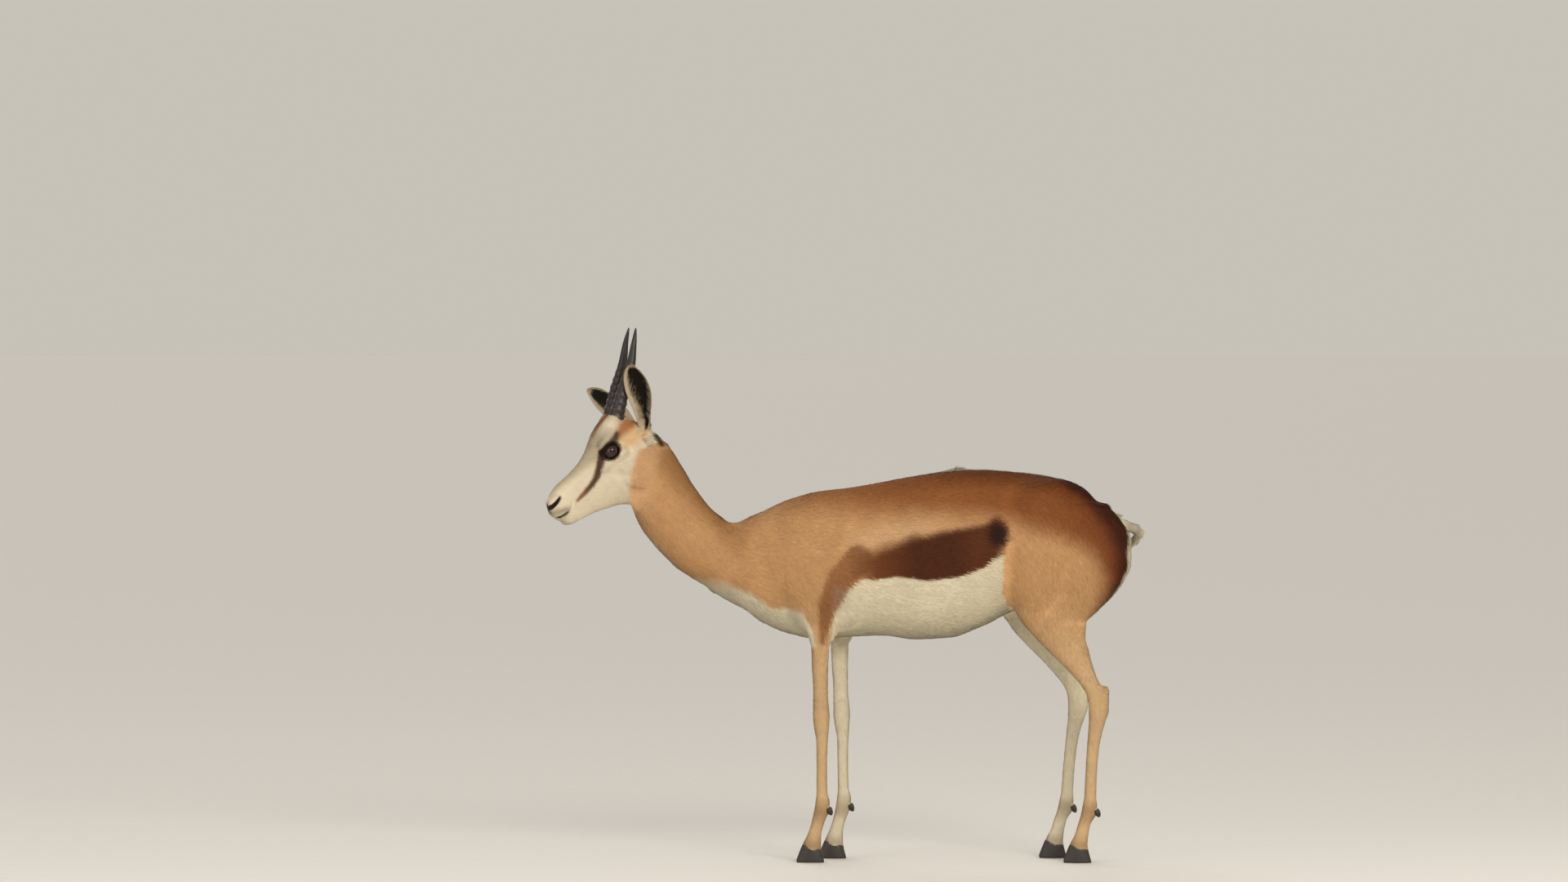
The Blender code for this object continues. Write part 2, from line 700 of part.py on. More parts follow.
parts = bpy.data.collections.new("springbok")
cutters = bpy.data.collections.new("cutters")
cutters.hide_render = True
for collection in (parts, cutters):
    bpy.context.scene.collection.children.link(collection)
stance = bpy.data.objects.new("stance", None)
parts.objects.link(stance)

tan_coat = principled("tan_coat", "C08A55", 0.85)
brown_coat = principled("brown_coat", "9A5C34", 0.85)
white_coat = principled("white_coat", "E9E2D4", 0.85)
dark_tuft = principled("dark_tuft", "2A201A", 0.8)
dark_horn = principled("dark_horn", "2B2724", 0.45)
black_hoof = principled("black_hoof", "231E1B", 0.4)
dark_eye = principled("dark_eye", "140C08", 0.08)

# The cuts, each a point in mm and the direction out of the piece that is named first.
HEAD_FROM_NECK = ((-396, 0, 770), (0.93, 0.0, -0.37))
NECK_FROM_TORSO = ((-238, 0, 600), (0.86, 0.0, -0.51))
TORSO_FROM_TAIL = ((550, 16, 653), (0.80, 0.60, 0.0))
TAIL_FLOOR = 634
TAIL_FROM_TUFT = ((526, 114.5, 591.5), (-0.62, 0.56, -0.55))
FORE_SLANT_INNER = (30, 430)
FORE_SLANT_OUTER = (85, 500)
FORE_ENDS = {-1: (-132, 14), 1: (-132, 52)}
HIND_TOP = ((400, 0, 588), (-0.16, 0.0, 0.987))
HIND_INNER = 9
HIND_FRONT = {-1: 286, 1: 252}
CARPUS_LEVEL = 284
HOCK_LEVEL = 305
CORONET_HEIGHT = 29
CORONET_SLOPE = (-0.27, 0.0, -0.96)
FORE_MIDDLE = (-76, 55.5)
HIND_MIDDLE = (446, 64)

FORE_INNER = 24
UPPER_LEG_TRIANGLES = 880
LOWER_LEG_TRIANGLES = 540
HEAD_TRIANGLES = 4100
TORSO_TRIANGLES = 2700
NECK_TRIANGLES = 900
TAIL_TRIANGLES = 280

rooms = []
feet = []
for side, word in ((-1, "left"), (1, "right")):
    span = (-130, 0) if side < 0 else (0, 130)
    rise = (FORE_SLANT_OUTER[1] - FORE_SLANT_INNER[1]) / (FORE_SLANT_OUTER[0] - FORE_SLANT_INNER[0])
    foreleg_planes = [
        ((0, side * FORE_SLANT_INNER[0], FORE_SLANT_INNER[1]), (0, -side * rise, 1)),
        ((0, side * FORE_INNER, 0), (0, -side, 0)),
        ((FORE_ENDS[side][0], 0, 0), (-1, 0, 0)),
        ((FORE_ENDS[side][1], 0, 0), (1, 0, 0)),
    ]
    hindleg_planes = [
        HIND_TOP,
        ((0, side * HIND_INNER, 0), (0, -side, 0)),
        ((HIND_FRONT[side], 0, 0), (-1, 0, 0)),
    ]
    for limb_name, planes, joint, top, reach, middle, shift in (
        ("foreleg", foreleg_planes, CARPUS_LEVEL, 520, (-160, 100), FORE_MIDDLE, FORE_SHIFT[side]),
        ("hindleg", hindleg_planes, HOCK_LEVEL, 640, (200, 590), HIND_MIDDLE, HIND_SHIFT[side]),
    ):
        name = f"{limb_name}_{word}"
        drift = shift[0] + (shift[1] - shift[0]) * CORONET_HEIGHT / SHIFT_HEIGHT
        coronet = ((middle[0] + drift, 0, CORONET_HEIGHT), CORONET_SLOPE)
        knee = ((0, 0, joint), (0, 0, -1))
        upper_box = (*reach, *span, joint - 20, top)
        upper = node(name + "_upper", upper_box, 3.2, UPPER_LEG_TRIANGLES, planes + [knee], NO_TAIL)
        lower_box = (*reach, *span, 4, joint + 20)
        lower_planes = turned([knee]) + [coronet]
        lower = node(name + "_lower", lower_box, 2.2, LOWER_LEG_TRIANGLES, lower_planes, NO_TAIL)
        for obj in (upper, lower):
            obj.data.materials.append(tan_coat)
            obj.parent = stance
        rooms.append(half_spaces(name + "_room", planes, cutters, -JOIN_GAP / 2))
        feet.append((name, side, coronet, (middle[0] + drift, side * middle[1])))

tail_room = turned([TORSO_FROM_TAIL, ((0, 0, TAIL_FLOOR), (0, 0, 1))])
rooms.append(half_spaces("tail_room", tail_room, cutters, -JOIN_GAP / 2))
torso_box = (-300, 600, -140, 140, 400, 810)
neck_box = (-480, -130, -110, 110, 440, 900)
head_box = (-650, -370, -130, 110, 640, 940)
tail_box = (500, 600, -30, 160, 560, 710)
neck_planes = [NECK_FROM_TORSO] + turned([HEAD_FROM_NECK])
tail_planes = turned([TORSO_FROM_TAIL]) + [TAIL_FROM_TUFT]
neck_node = node("neck", neck_box, 4.0, NECK_TRIANGLES, neck_planes, NO_TAIL)
torso = node("torso", torso_box, 4.5, TORSO_TRIANGLES, turned([NECK_FROM_TORSO]), FORMS, rooms)
tail_node = node("tail", tail_box, 1.6, TAIL_TRIANGLES, tail_planes, TAIL_ONLY)
head_node = node("head", head_box, 1.7, HEAD_TRIANGLES, [HEAD_FROM_NECK], NO_TAIL)
coats = (tan_coat, brown_coat, white_coat, white_coat)
for obj, coat in zip((neck_node, torso, tail_node, head_node), coats):
    obj.data.materials.append(coat)
    obj.parent = stance


def eye(name, side, segments=18, rings=10):
    """An eyeball, its pole facing out of the head."""
    built = bmesh.new()
    bmesh.ops.create_uvsphere(built, u_segments=segments, v_segments=rings, radius=EYE_RADIUS)
    mesh = bpy.data.meshes.new(name)
    built.to_mesh(mesh)
    built.free()
    shaded_smooth(mesh, math.pi)
    mesh.materials.append(dark_eye)
    obj = put(mesh, name, parts)
    along, aside, crown = EYE_PLACE
    obj.location = head_to_world((along, side * aside, crown))
    obj.rotation_euler = Vector(HEAD_LEFT * side).to_track_quat("Z", "Y").to_euler()
    obj.parent = stance
    return obj


# The horns rise from the forehead and lean back, and their tips turn forward a little; mm in the head's axes.
HORN_PATH = (
    (34, 16, 82),
    (27, 17.5, 95),
    (8, 19.5, 111),
    (-14.6, 22, 129.5),
    (-54.8, 25, 159.3),
    (-83.5, 25, 187.7),
    (-108.5, 21, 211.1),
)
HORN_STATIONS = 46
HORN_SIDES = 8
HORN_TIP = 0.9 * MM
HORN_TAPER = 0.72
HORN_DEEPER = 1.12
RING_DEPTH = 0.055
RINGED_SHARE = 0.68


def smooth_path(points, count):
    """This many places along a curve through the points, evenly spread by length."""
    points = np.array(points, float)
    length = np.concatenate([[0], np.cumsum(np.linalg.norm(np.diff(points, axis=0), axis=1))])
    fine = pchip(np.column_stack([length, points]), length[-1] / 400)
    even = np.linspace(0, length[-1], count)
    return np.column_stack([np.interp(even, fine[0], column) for column in fine[1:]])


def frames(path, reference):
    """Two directions across a path at each of its places, the first as near the reference as it can be."""
    along = np.gradient(path, axis=0)
    along /= np.linalg.norm(along, axis=1)[:, None]
    first = reference - along * (along @ reference)[:, None]
    first /= np.linalg.norm(first, axis=1)[:, None]
    return first, np.cross(along, first)


def horn(name, side):
    """A slender horn: rings on its lower part, smooth to the point."""
    path = smooth_path(HORN_PATH, HORN_STATIONS)
    path[:, 1] *= side
    path = np.array([head_to_world(place) for place in path])
    t = np.linspace(0, 1, HORN_STATIONS)
    radius = HORN_RADIUS * (1 - t) ** HORN_TAPER * (1 + 0.12 * t) + HORN_TIP
    ringed = np.clip((RINGED_SHARE - t) / 0.1, 0, 1) * np.clip((t - 0.06) / 0.04, 0, 1)
    wave = np.cos(2 * math.pi * HORN_RINGS * (t - 0.08) / RINGED_SHARE)
    radius = radius * (1 + RING_DEPTH * ringed * wave)
    first, second = frames(path, HEAD_AXIS)
    angle = np.arange(HORN_SIDES) * 2 * math.pi / HORN_SIDES
    deep = np.cos(angle)[None, :, None] * first[:, None, :] * HORN_DEEPER
    ring = deep + np.sin(angle)[None, :, None] * second[:, None, :]
    obj = loft(name, path[:, None, :] + ring * radius[:, None, None], dark_horn, parts)
    moved_to(obj, path[0], stance)
    return obj


# Each ear's root in the head's axes in mm, the way it points in the world and the way its cup faces.
EAR_ROOT = (6, 39, 36)
EAR_POSE = {
    1: ((-0.18, -0.38, 0.907), (-0.40, -0.90, -0.2)),
    -1: ((-0.584, 0.593, 0.556), (-0.787, -0.583, -0.206)),
}
EAR_STATIONS = 15
EAR_ACROSS = 9
EAR_PLUG = 0.14
# Along the ear from its plugged end to its tip: its width as a share of the widest, the depth of its cup and
# the thickness of its blade in mm, where its plug begins to open and how soon it is open, and its bow and bend.
EAR_WIDTHS = (
    (-0.14, 0.0, 0.12, 0.28, 0.45, 0.60, 0.76, 0.88, 0.96, 1.0),
    (0.34, 0.40, 0.44, 0.62, 0.88, 1.0, 0.92, 0.66, 0.36, 0.12),
)
EAR_DEPTHS = ((0, 0.15, 0.4, 0.75, 1), (15, 22, 23, 13, 2))
EAR_THICKNESS = ((0, 0.3, 1), (4.0, 3.0, 1.6))
EAR_OPENS = (0.10, 0.16)
EAR_BOW = 2.2
EAR_BEND = 10 * MM


def ear(name, side):
    """A long cupped ear: a thin curved blade that closes into a round root."""
    way, facing = (np.array(v) for v in EAR_POSE[side])
    way = way / np.linalg.norm(way)
    facing = facing - way * (facing @ way)
    facing = facing / np.linalg.norm(facing)
    aside = np.cross(way, facing)
    root = head_to_world((EAR_ROOT[0], side * EAR_ROOT[1], EAR_ROOT[2]))
    t = np.linspace(-EAR_PLUG, 1, EAR_STATIONS)
    rise = np.clip(t, 0, 1)
    width = EAR_WIDTH / 2 * np.interp(t, *EAR_WIDTHS)
    depth = np.interp(rise, *EAR_DEPTHS) * MM
    thick = np.interp(rise, *EAR_THICKNESS) * MM
    open_share = np.clip((rise - EAR_OPENS[0]) / EAR_OPENS[1], 0, 1) ** 0.8
    u = np.linspace(-1, 1, EAR_ACROSS)
    bow = 1 - np.abs(u) ** EAR_BOW
    back = -depth[:, None] * bow
    plug = np.sqrt(np.maximum(1 - u**2, 0)) * (width * 0.9)[:, None]
    cup = back + thick[:, None] * (0.55 + 0.45 * bow)
    front = open_share[:, None] * cup + (1 - open_share[:, None]) * np.maximum(plug, cup)
    bend = -EAR_BEND * np.sin(rise * math.pi)[:, None]
    across = np.concatenate([u, u[::-1]])[None, :] * width[:, None]
    out = np.concatenate([back, front[:, ::-1]], axis=1) + bend
    spot = root + (t * EAR_LENGTH)[:, None] * way
    ring = spot[:, None, :] + across[:, :, None] * aside + out[:, :, None] * facing
    obj = loft(name, ring, brown_coat, parts)
    moved_to(obj, root, stance)
    return obj


for side, word in ((1, "left"), (-1, "right")):
    eyeball = eye("eye_" + word, side)
    horn_piece = horn("horn_" + word, side)
    ear_piece = ear("ear_" + word, side)
    for piece in (eyeball, horn_piece, ear_piece):
        boolean(head_node, swollen(piece, SOCKET_GAP, cutters), "DIFFERENCE")
carry_out(head_node)
keep_largest(head_node.data)
shaded_smooth(head_node.data)


# A claw in mm: how far its toe reaches before the middle of the foot and its heel behind it, both at the top
# and how much further at the ground, how far its middle stands aside, and its half-width from the ground up.
CLAW_TOE = (18, 12)
CLAW_HEEL = (18, 6)
CLAW_ASIDE = 9.6
CLAW_HALF = (7.9, 8.4, 7.6)
CLAW_SPREAD = (0.96, 1.0, 0.0)
CLAW_LEVELS = (0.0, 0.12, 1.0)
CLAW_SIDES = 14
TOE_NARROWING = 0.30


def claw(name, side, coronet, place, inner):
    """One claw of a cloven hoof: flat sole, sloping wall, and a top that follows the cut above it."""
    angle = np.arange(CLAW_SIDES) * 2 * math.pi / CLAW_SIDES
    forward = np.cos(angle)
    sideways = np.sin(angle) * (1 - TOE_NARROWING * np.maximum(forward, 0) ** 2)
    centre_side = side * (abs(place[1]) + (-CLAW_ASIDE if inner else CLAW_ASIDE)) * MM
    rings = []
    for level, spread, half in zip(CLAW_LEVELS, CLAW_SPREAD, CLAW_HALF):
        toe = (place[0] - CLAW_TOE[0] - CLAW_TOE[1] * spread) * MM
        heel = (place[0] + CLAW_HEEL[0] + CLAW_HEEL[1] * spread) * MM
        x = (toe + heel) / 2 - forward * (heel - toe) / 2
        y = centre_side + sideways * half * MM
        point, slope = coronet
        top = point[2] * MM - (x - point[0] * MM) * slope[0] / slope[2] - JOIN_GAP / 2
        rings.append(np.column_stack([x, y, top * level]))
    obj = loft(name, rings, black_hoof, parts)
    moved_to(obj, (place[0] * MM, centre_side, 0.0), stance)
    return obj


for name, side, coronet, place in feet:
    for word, inner in (("inner", True), ("outer", False)):
        claw(f"claw_{name}_{word}", side, coronet, place, inner)


LOCK_WIDTH = 11 * MM
LOCK_FLATNESS = 0.45
LOCK_STATIONS = 5
LOCK_SIDES = 6
LOCK_DROOP = 0.34
TUFT_CORE = 7.6 * MM
GOLDEN_ANGLE = math.radians(137.5)


def lock(name, root, way, length, turn, collection):
    """A flat tapered lock of long hair that droops toward its tip."""
    way = way / np.linalg.norm(way)
    t = np.linspace(0, 1, LOCK_STATIONS)
    drop = np.array([0, 0, -LOCK_DROOP * length])
    path = root + (t * length)[:, None] * way + (t**2)[:, None] * drop
    first, second = frames(path, np.array(turn, float))
    angle = np.arange(LOCK_SIDES) * 2 * math.pi / LOCK_SIDES
    size = LOCK_WIDTH / 2 * (0.55 + 0.9 * t) * (1 - t) ** 0.6 + 0.25 * MM
    flat = np.sin(angle)[None, :, None] * second[:, None, :] * LOCK_FLATNESS
    ring = np.cos(angle)[None, :, None] * first[:, None, :] + flat
    obj = loft(name, path[:, None, :] + ring * size[:, None, None], None, collection)
    obj.hide_render = True
    obj.display_type = "WIRE"
    return obj


# The locks fan out round the tail's end, the outer ones shorter, and are fused with the core they grow from.
locks = bpy.data.collections.new("locks")
locks.hide_render = True
cutters.children.link(locks)
tail_end = np.array(TAIL[-1][:3]) * MM
tail_way = np.array(TAIL[-1][:3], float) - np.array(TAIL[-2][:3], float)
tail_way /= np.linalg.norm(tail_way)
start = tail_end - tail_way * 5 * MM
first, second = frames(np.array([start, tail_end]), UPWARD)
spread = np.random.default_rng(7)
for index in range(TAIL_LOCKS):
    angle = index * GOLDEN_ANGLE
    out = math.cos(angle) * first[0] + math.sin(angle) * second[0]
    share = (index + 0.5) / TAIL_LOCKS
    root = start + out * 4.2 * MM * math.sqrt(share) + tail_way * 1 * MM
    way = tail_way + out * (0.10 + 0.26 * share) + spread.normal(0, 0.03, 3)
    length = LOCK_LENGTH * (1.05 - 0.35 * share)
    lock(f"lock_{index:02d}", root, way, length, first[0] + spread.normal(0, 0.6, 3), locks)
core = bpy.data.meshes.new("tail_tuft")
built = bmesh.new()
bmesh.ops.create_icosphere(built, subdivisions=2, radius=TUFT_CORE)
built.to_mesh(core)
built.free()
core.transform(Matrix.Translation(Vector(start + tail_way * 3 * MM)))
tuft = put(core, "tail_tuft", parts)
union = tuft.modifiers.new("locks", "BOOLEAN")
union.operand_type = "COLLECTION"
union.collection = locks
union.operation = "UNION"
union.solver = "MANIFOLD"
boolean(tuft, half_spaces("tail_tuft_bounds", turned([TAIL_FROM_TUFT]), cutters), "INTERSECT")
carry_out(tuft)
keep_largest(tuft.data)
for piece in list(locks.objects):
    bpy.data.objects.remove(piece)
bpy.data.collections.remove(locks)
shaded_smooth(tuft.data)
tuft.data.materials.append(dark_tuft)
tuft.parent = stance

# The cutters stay with the animal, and the whole is set over the origin.
for helper in cutters.all_objects:
    helper.parent = stance
stance.location = Vector(STANCE_PLACE) * MM
bpy.context.view_layer.update()
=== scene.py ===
"""A springbok ewe at life size in its summer coat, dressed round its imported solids.

One skin takes the place of the solids of flesh. It is the zero level of a field of distances made of the same
long forms and muscle masses as the solids, lying inside them by the coat's depth, and the coat's tufts are rooted
in it. Eyes, lids, lashes, horns, claws and the tail's tassel are pieces of their own. It faces -X, in metres.
"""
import math

import bpy
import numpy as np
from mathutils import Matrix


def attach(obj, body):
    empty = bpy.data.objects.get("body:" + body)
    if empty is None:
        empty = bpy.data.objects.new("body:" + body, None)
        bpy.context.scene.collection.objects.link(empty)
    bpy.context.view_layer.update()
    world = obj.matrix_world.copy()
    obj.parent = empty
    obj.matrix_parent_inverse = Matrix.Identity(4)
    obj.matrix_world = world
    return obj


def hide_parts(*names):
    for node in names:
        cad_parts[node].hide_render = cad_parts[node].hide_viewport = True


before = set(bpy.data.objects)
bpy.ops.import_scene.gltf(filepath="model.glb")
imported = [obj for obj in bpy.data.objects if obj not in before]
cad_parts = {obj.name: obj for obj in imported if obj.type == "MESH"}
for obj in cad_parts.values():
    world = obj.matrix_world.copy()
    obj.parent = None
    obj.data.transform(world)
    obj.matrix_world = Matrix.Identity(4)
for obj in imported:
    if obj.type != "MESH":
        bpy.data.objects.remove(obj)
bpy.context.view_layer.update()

import openvdb
from mathutils import Vector

# Camera. The photograph was taken from far off with a long lens, level with the animal's back, square to its
# left side. The picture is 3.07 m wide at the animal, which puts the ground 1.6 mm a pixel below its middle.
LENS = 200.0
SENSOR = 36.0
PICTURE_WIDTH = 3.072
LOOK_AT = (-0.1209, -0.0229, 0.8224)
CAMERA_RISE = math.radians(1.5)
distance_off = PICTURE_WIDTH * LENS / SENSOR
camera_data = bpy.data.cameras.new("camera")
camera_data.lens = LENS
camera_data.sensor_width = SENSOR
camera_data.clip_end = 200.0
camera = bpy.data.objects.new("camera", camera_data)
camera.location = (
    LOOK_AT[0],
    LOOK_AT[1] - distance_off * math.cos(CAMERA_RISE),
    LOOK_AT[2] + distance_off * math.sin(CAMERA_RISE),
)
camera.rotation_euler = (math.pi / 2 - CAMERA_RISE, 0, 0)
bpy.context.scene.collection.objects.link(camera)
bpy.context.scene.camera = camera


# Skin. The real hide is one piece from lip to hoof, drawn over muscle and bone, thin on the legs and face. Here
# its form is worked out as distances: long forms whose sections vary along them, and rounded masses of muscle.
MM = 0.001
STANCE = np.array([9.5, -22.9, 0.0]) * MM
HEAD_YAW = math.radians(20)
HEAD_PITCH = math.radians(36.8)
EYE_RADIUS = 15 * MM
EYE_PLACE = (81, 36, 54)
# The head turns on the poll, and its own axes point along the muzzle, out of the crown and to its left.
POLL = np.array([-390, 0, 810]) * MM
UPWARD = np.array([0.0, 0.0, 1.0])
FORWARD = np.array([-math.cos(HEAD_YAW), -math.sin(HEAD_YAW), 0.0])
HEAD_LEFT = np.array([math.sin(HEAD_YAW), -math.cos(HEAD_YAW), 0.0])
HEAD_AXIS = math.cos(HEAD_PITCH) * FORWARD - math.sin(HEAD_PITCH) * UPWARD
HEAD_CROWN = math.sin(HEAD_PITCH) * FORWARD + math.cos(HEAD_PITCH) * UPWARD

# The neck's axis runs from under the poll down into the chest.
NECK_TOP = np.array([-390, 0, 739]) * MM
NECK_AXIS = np.array([0.692, 0, -0.722])
NECK_NAPE = np.array([0.722, 0, 0.692])

# Sections of the long forms, in mm: place along the axis, top, bottom, half-width, the level of the widest
# point, and the roundness above and below that level, where 2 is an ellipse and less is more pointed.
TRUNK = (
    (-268, 630, 536, 24, 585, 2.0, 2.0),
    (-236, 652, 511, 42, 585, 2.0, 2.0),
    (-208, 670, 492, 56, 582, 2.0, 2.0),
    (-176, 684, 468, 68, 576, 1.9, 2.0),
    (-120, 709, 444, 82, 568, 1.8, 2.0),
    (-66, 724, 434, 90, 560, 1.7, 1.9),
    (-2, 732, 438, 97, 556, 1.7, 2.0),
    (62, 743, 440, 104, 552, 1.8, 2.1),
    (126, 755, 433, 110, 550, 1.9, 2.2),
    (190, 764, 436, 111, 556, 2.0, 2.2),
    (254, 767, 457, 106, 575, 2.1, 2.2),
    (318, 763, 488, 94, 610, 2.1, 2.1),
    (382, 755, 510, 84, 645, 2.1, 2.0),
    (446, 732, 528, 72, 650, 2.1, 2.0),
    (484, 698, 548, 56, 636, 2.0, 2.0),
    (514, 665, 575, 38, 620, 2.0, 2.0),
    (534, 638, 596, 20, 616, 2.0, 2.0),
)
NECK = (
    (-60, 62, -10, 34, 22, 2.0, 2.0),
    (-32, 76, -36, 38, 14, 2.0, 2.0),
    (12, 69, -62, 41, 4, 2.0, 2.0),
    (61, 58, -77, 42, -4, 1.9, 2.0),
    (112, 52, -81, 45, -8, 1.9, 2.0),
    (142, 55, -81, 49, -8, 1.9, 2.0),
    (177, 62, -75, 55, -4, 2.0, 2.0),
    (214, 70, -65, 60, 0, 2.0, 2.0),
    (250, 70, -54, 60, 6, 2.0, 2.0),
    (285, 60, -36, 50, 10, 2.0, 2.0),
    (322, 40, -12, 34, 14, 2.0, 2.0),
)
HEAD = (
    (-20, 22, -8, 26, 6, 2.0, 2.0),
    (-8, 50, -26, 35, 12, 2.2, 2.0),
    (10, 82, -40, 40, 26, 2.3, 2.0),
    (30, 98, -50, 41, 40, 2.4, 1.9),
    (54, 104, -60, 42, 44, 2.4, 1.8),
    (78, 97, -65, 42, 42, 2.3, 1.8),
    (102, 83, -61, 38, 34, 2.2, 1.8),
    (122, 73, -49, 33, 26, 2.1, 1.8),
    (145, 66, -40, 27, 24, 2.1, 1.8),
    (172, 62, -31, 23.5, 26, 2.2, 1.8),
    (200, 60, -25, 22, 28, 2.4, 1.9),
    (220, 54, -20, 21.5, 28, 2.4, 2.0),
    (234, 45, -6, 18, 26, 2.3, 2.1),
    (243, 36, 8, 12, 24, 2.1, 2.1),
)

# Sections of the limbs, in mm: height, front, rear, inner and outer side, each as the leg stands.
FORELEG = (
    (560, -128, 16, 24, 84),
    (520, -116, 10, 28, 86),
    (488, -104, -2, 33, 82),
    (460, -91, -19, 38, 78),
    (440, -84, -31, 40, 76),
    (422, -79, -40, 41, 74),
    (380, -77, -43, 42, 72),
    (330, -74, -44, 42, 70),
    (306, -74, -42.5, 41, 70),
    (286, -74, -41, 41, 70),
    (262, -71.5, -42.5, 42.5, 68.5),
    (235, -67.5, -44.5, 45.5, 65.5),
    (190, -67, -46, 46, 65),
    (140, -67, -45.5, 45.5, 65.5),
    (118, -69, -41, 43, 68),
    (102, -71.5, -42, 42.5, 68.5),
    (78, -77, -51, 43.5, 67.5),
    (56, -84, -57, 41, 70),
    (36, -93, -58, 38, 73),
    (20, -96, -56, 37, 74),
)
HINDLEG = (
    (700, 330, 500, 10, 76),
    (670, 318, 526, 10, 90),
    (630, 306, 548, 10, 98),
    (590, 294, 549, 10, 101),
    (555, 289, 537, 10, 100),
    (525, 297, 516, 12, 96),
    (495, 315, 486, 18, 92),
    (470, 333, 463, 25, 89),
    (442, 357, 460, 33, 86),
    (415, 383, 466, 39, 84),
    (390, 409, 472.5, 43, 83),
    (366, 432, 480, 46, 82),
    (345, 450, 490, 48, 81),
    (330, 459, 498, 49, 81),
    (315, 463, 504, 49, 81),
    (300, 464.5, 504.5, 49, 81),
    (280, 465, 499, 50, 80),
    (255, 463.5, 491.5, 52, 77),
    (220, 461, 485, 53, 75),
    (170, 458, 481, 53, 75),
    (130, 456, 480, 52.5, 75.5),
    (112, 453, 481.5, 51, 77),
    (96, 450, 480, 51, 77),
    (76, 444, 469.5, 52, 76),
    (56, 438, 465, 50, 78),
    (36, 429, 463, 47, 81),
    (20, 426, 466, 46, 82),
)

# Masses of muscle and bone on each side of the body, in mm: middle, half-sizes, how far the upright one leans
# back in radians, its inward tilt as a slope, and how softly the mass runs into the ones before it.
SHOULDER_MASSES = (
    ((-84, 44, 602), (46, 31, 88), -0.42, 0.20, 0),
    ((-66, 60, 530), (58, 29, 60), 0.50, 0.0, 34),
)
HAUNCH_MASSES = (
    ((402, 50, 656), (92, 46, 88), -0.20, 0.0, 0),
    ((488, 42, 612), (50, 42, 66), 0.10, 0.0, 30),
    ((352, 66, 566), (42, 35, 88), -0.30, 0.0, 30),
    ((448, 64, 580), (56, 39, 96), 0.12, 0.0, 26),
    ((352, 62, 712), (24, 15, 15), 0.0, 0.0, 26),
)
FORELEG_MASSES = (
    ((-8, 62, 492), (20, 14, 26), 0.4, 0.0, 16),
    ((-41, 47.5, 101), (5, 5, 7.5), -0.3, 0.0, 4),
    ((-41, 63.5, 101), (5, 5, 7.5), -0.3, 0.0, 4),
)
HINDLEG_MASSES = (
    ((494, 65, 330), (9.5, 8, 17), 0.30, 0.0, 14),
    ((482, 56, 98), (5, 5, 7.5), -0.3, 0.0, 4),
    ((482, 72, 98), (5, 5, 7.5), -0.3, 0.0, 4),
)
# The hollow before the hamstring's tendon on either face of the hind leg: both ends, radii and blend, in mm.
TENDON_HOLLOWS = (
    ((452, 94, 436), (488, 91, 352), 9, 9, 9),
    ((458, 30, 420), (488, 40, 352), 7, 8, 9),
)

# The head's own masses in its axes, as above, and its rods: both ends, both radii and blend, in mm.
HEAD_MASSES = (
    ((56, 30, -4), (38, 13, 42), 0.25, 0.0, 14),
    ((76, 36, 73), (22, 12, 9), 0.15, 0.0, 14),
    ((32, 17, 96), (19, 15, 12), 0.0, 0.0, 12),
    ((223, 12, 19), (19, 10, 10), 0.0, 0.0, 8),
    ((219, 6, -9), (16, 10, 9), 0.0, 0.0, 8),
)
CHEEK_BONE = ((62, 42, 38), (118, 30, 34), 5, 3, 14)
NOSTRIL_WING = ((220, 15, 43), (234, 11, 40), 6.5, 5, 7)
# The nostril is a comma: places along the head, aside and out of its crown, each with a radius.
NOSTRIL = ((245, 7, 35.5, 3.2), (236, 12, 34.5, 3.6), (226, 18, 36.5, 2.5), (216, 21.5, 40.5, 1.3), (210, 22.5, 43, 0.8))
NOSTRIL_BLEND = 1.8
LIP_PARTING = ((262, 0, 14), (256, 0, 31), 1.6, 1.6, 2)
MOUTH_LINE = ((260, 5, 14), (236, 14, 9), (218, 22, 7), (205, 25, 10))
MOUTH_DEPTHS = (0, 6)
MOUTH_THICKNESS = (1.3, 1.1, 1.2)
LID_THICKNESS = 2.6
LID_BLEND = 7
LID_OPENING = (15.5, 11.5)
LID_POWERS = (1.8, 2.2)
LID_FRONT = (20, 1.35)
LID_TILT = 0.22
LID_DEPTH = 2
LID_SHIFT = 1
# Creases of the face: depth, half-width and places along the head and out of its crown, in mm. They lie above
# and below the lids, before the eye, round the cheek's muscle, beside the nose's bone and behind the mouth.
FACE_FOLDS = (
    (1.2, 2.2, ((103, 63), (94, 70.5), (79, 73), (64, 66))),
    (1.0, 2.2, ((100, 44), (86, 37.5), (70, 41))),
    (1.7, 3.2, ((107, 49), (121, 37))),
    (2.0, 7.5, ((120, 27), (94, 6), (72, -10))),
    (1.5, 6.0, ((128, 57), (168, 48), (200, 46))),
    (1.0, 2.4, ((205, 11), (197, 20))),
    (0.9, 2.4, ((229, 46), (214, 50), (204, 45))),
)

# How far each limb is shifted along X at the ground and at the given height, on the near (left) and far side.
FORE_SHIFT = {-1: (0.0, 0.0), 1: (44.0, 38.0)}
HIND_SHIFT = {-1: (0.0, 0.0), 1: (-45.0, -30.0)}
SHIFT_HEIGHT = 500.0
SHIFT_FADE = 90.0

# The tail's middle line swings off to the far side, in mm, with its radius at each place.
TAIL = (
    (500, 2, 668, 15),
    (532, 6, 658, 12),
    (556, 20, 650, 10.5),
    (568, 44, 640, 9.5),
    (560, 74, 625, 9),
    (542, 100, 606, 8.5),
    (520, 120, 586, 8),
)
TAIL_ROOT_PLACES = 3
TAIL_BLEND = 4
FORELEG_ROUNDNESS = 2.1
HINDLEG_ROUNDNESS = 2.15


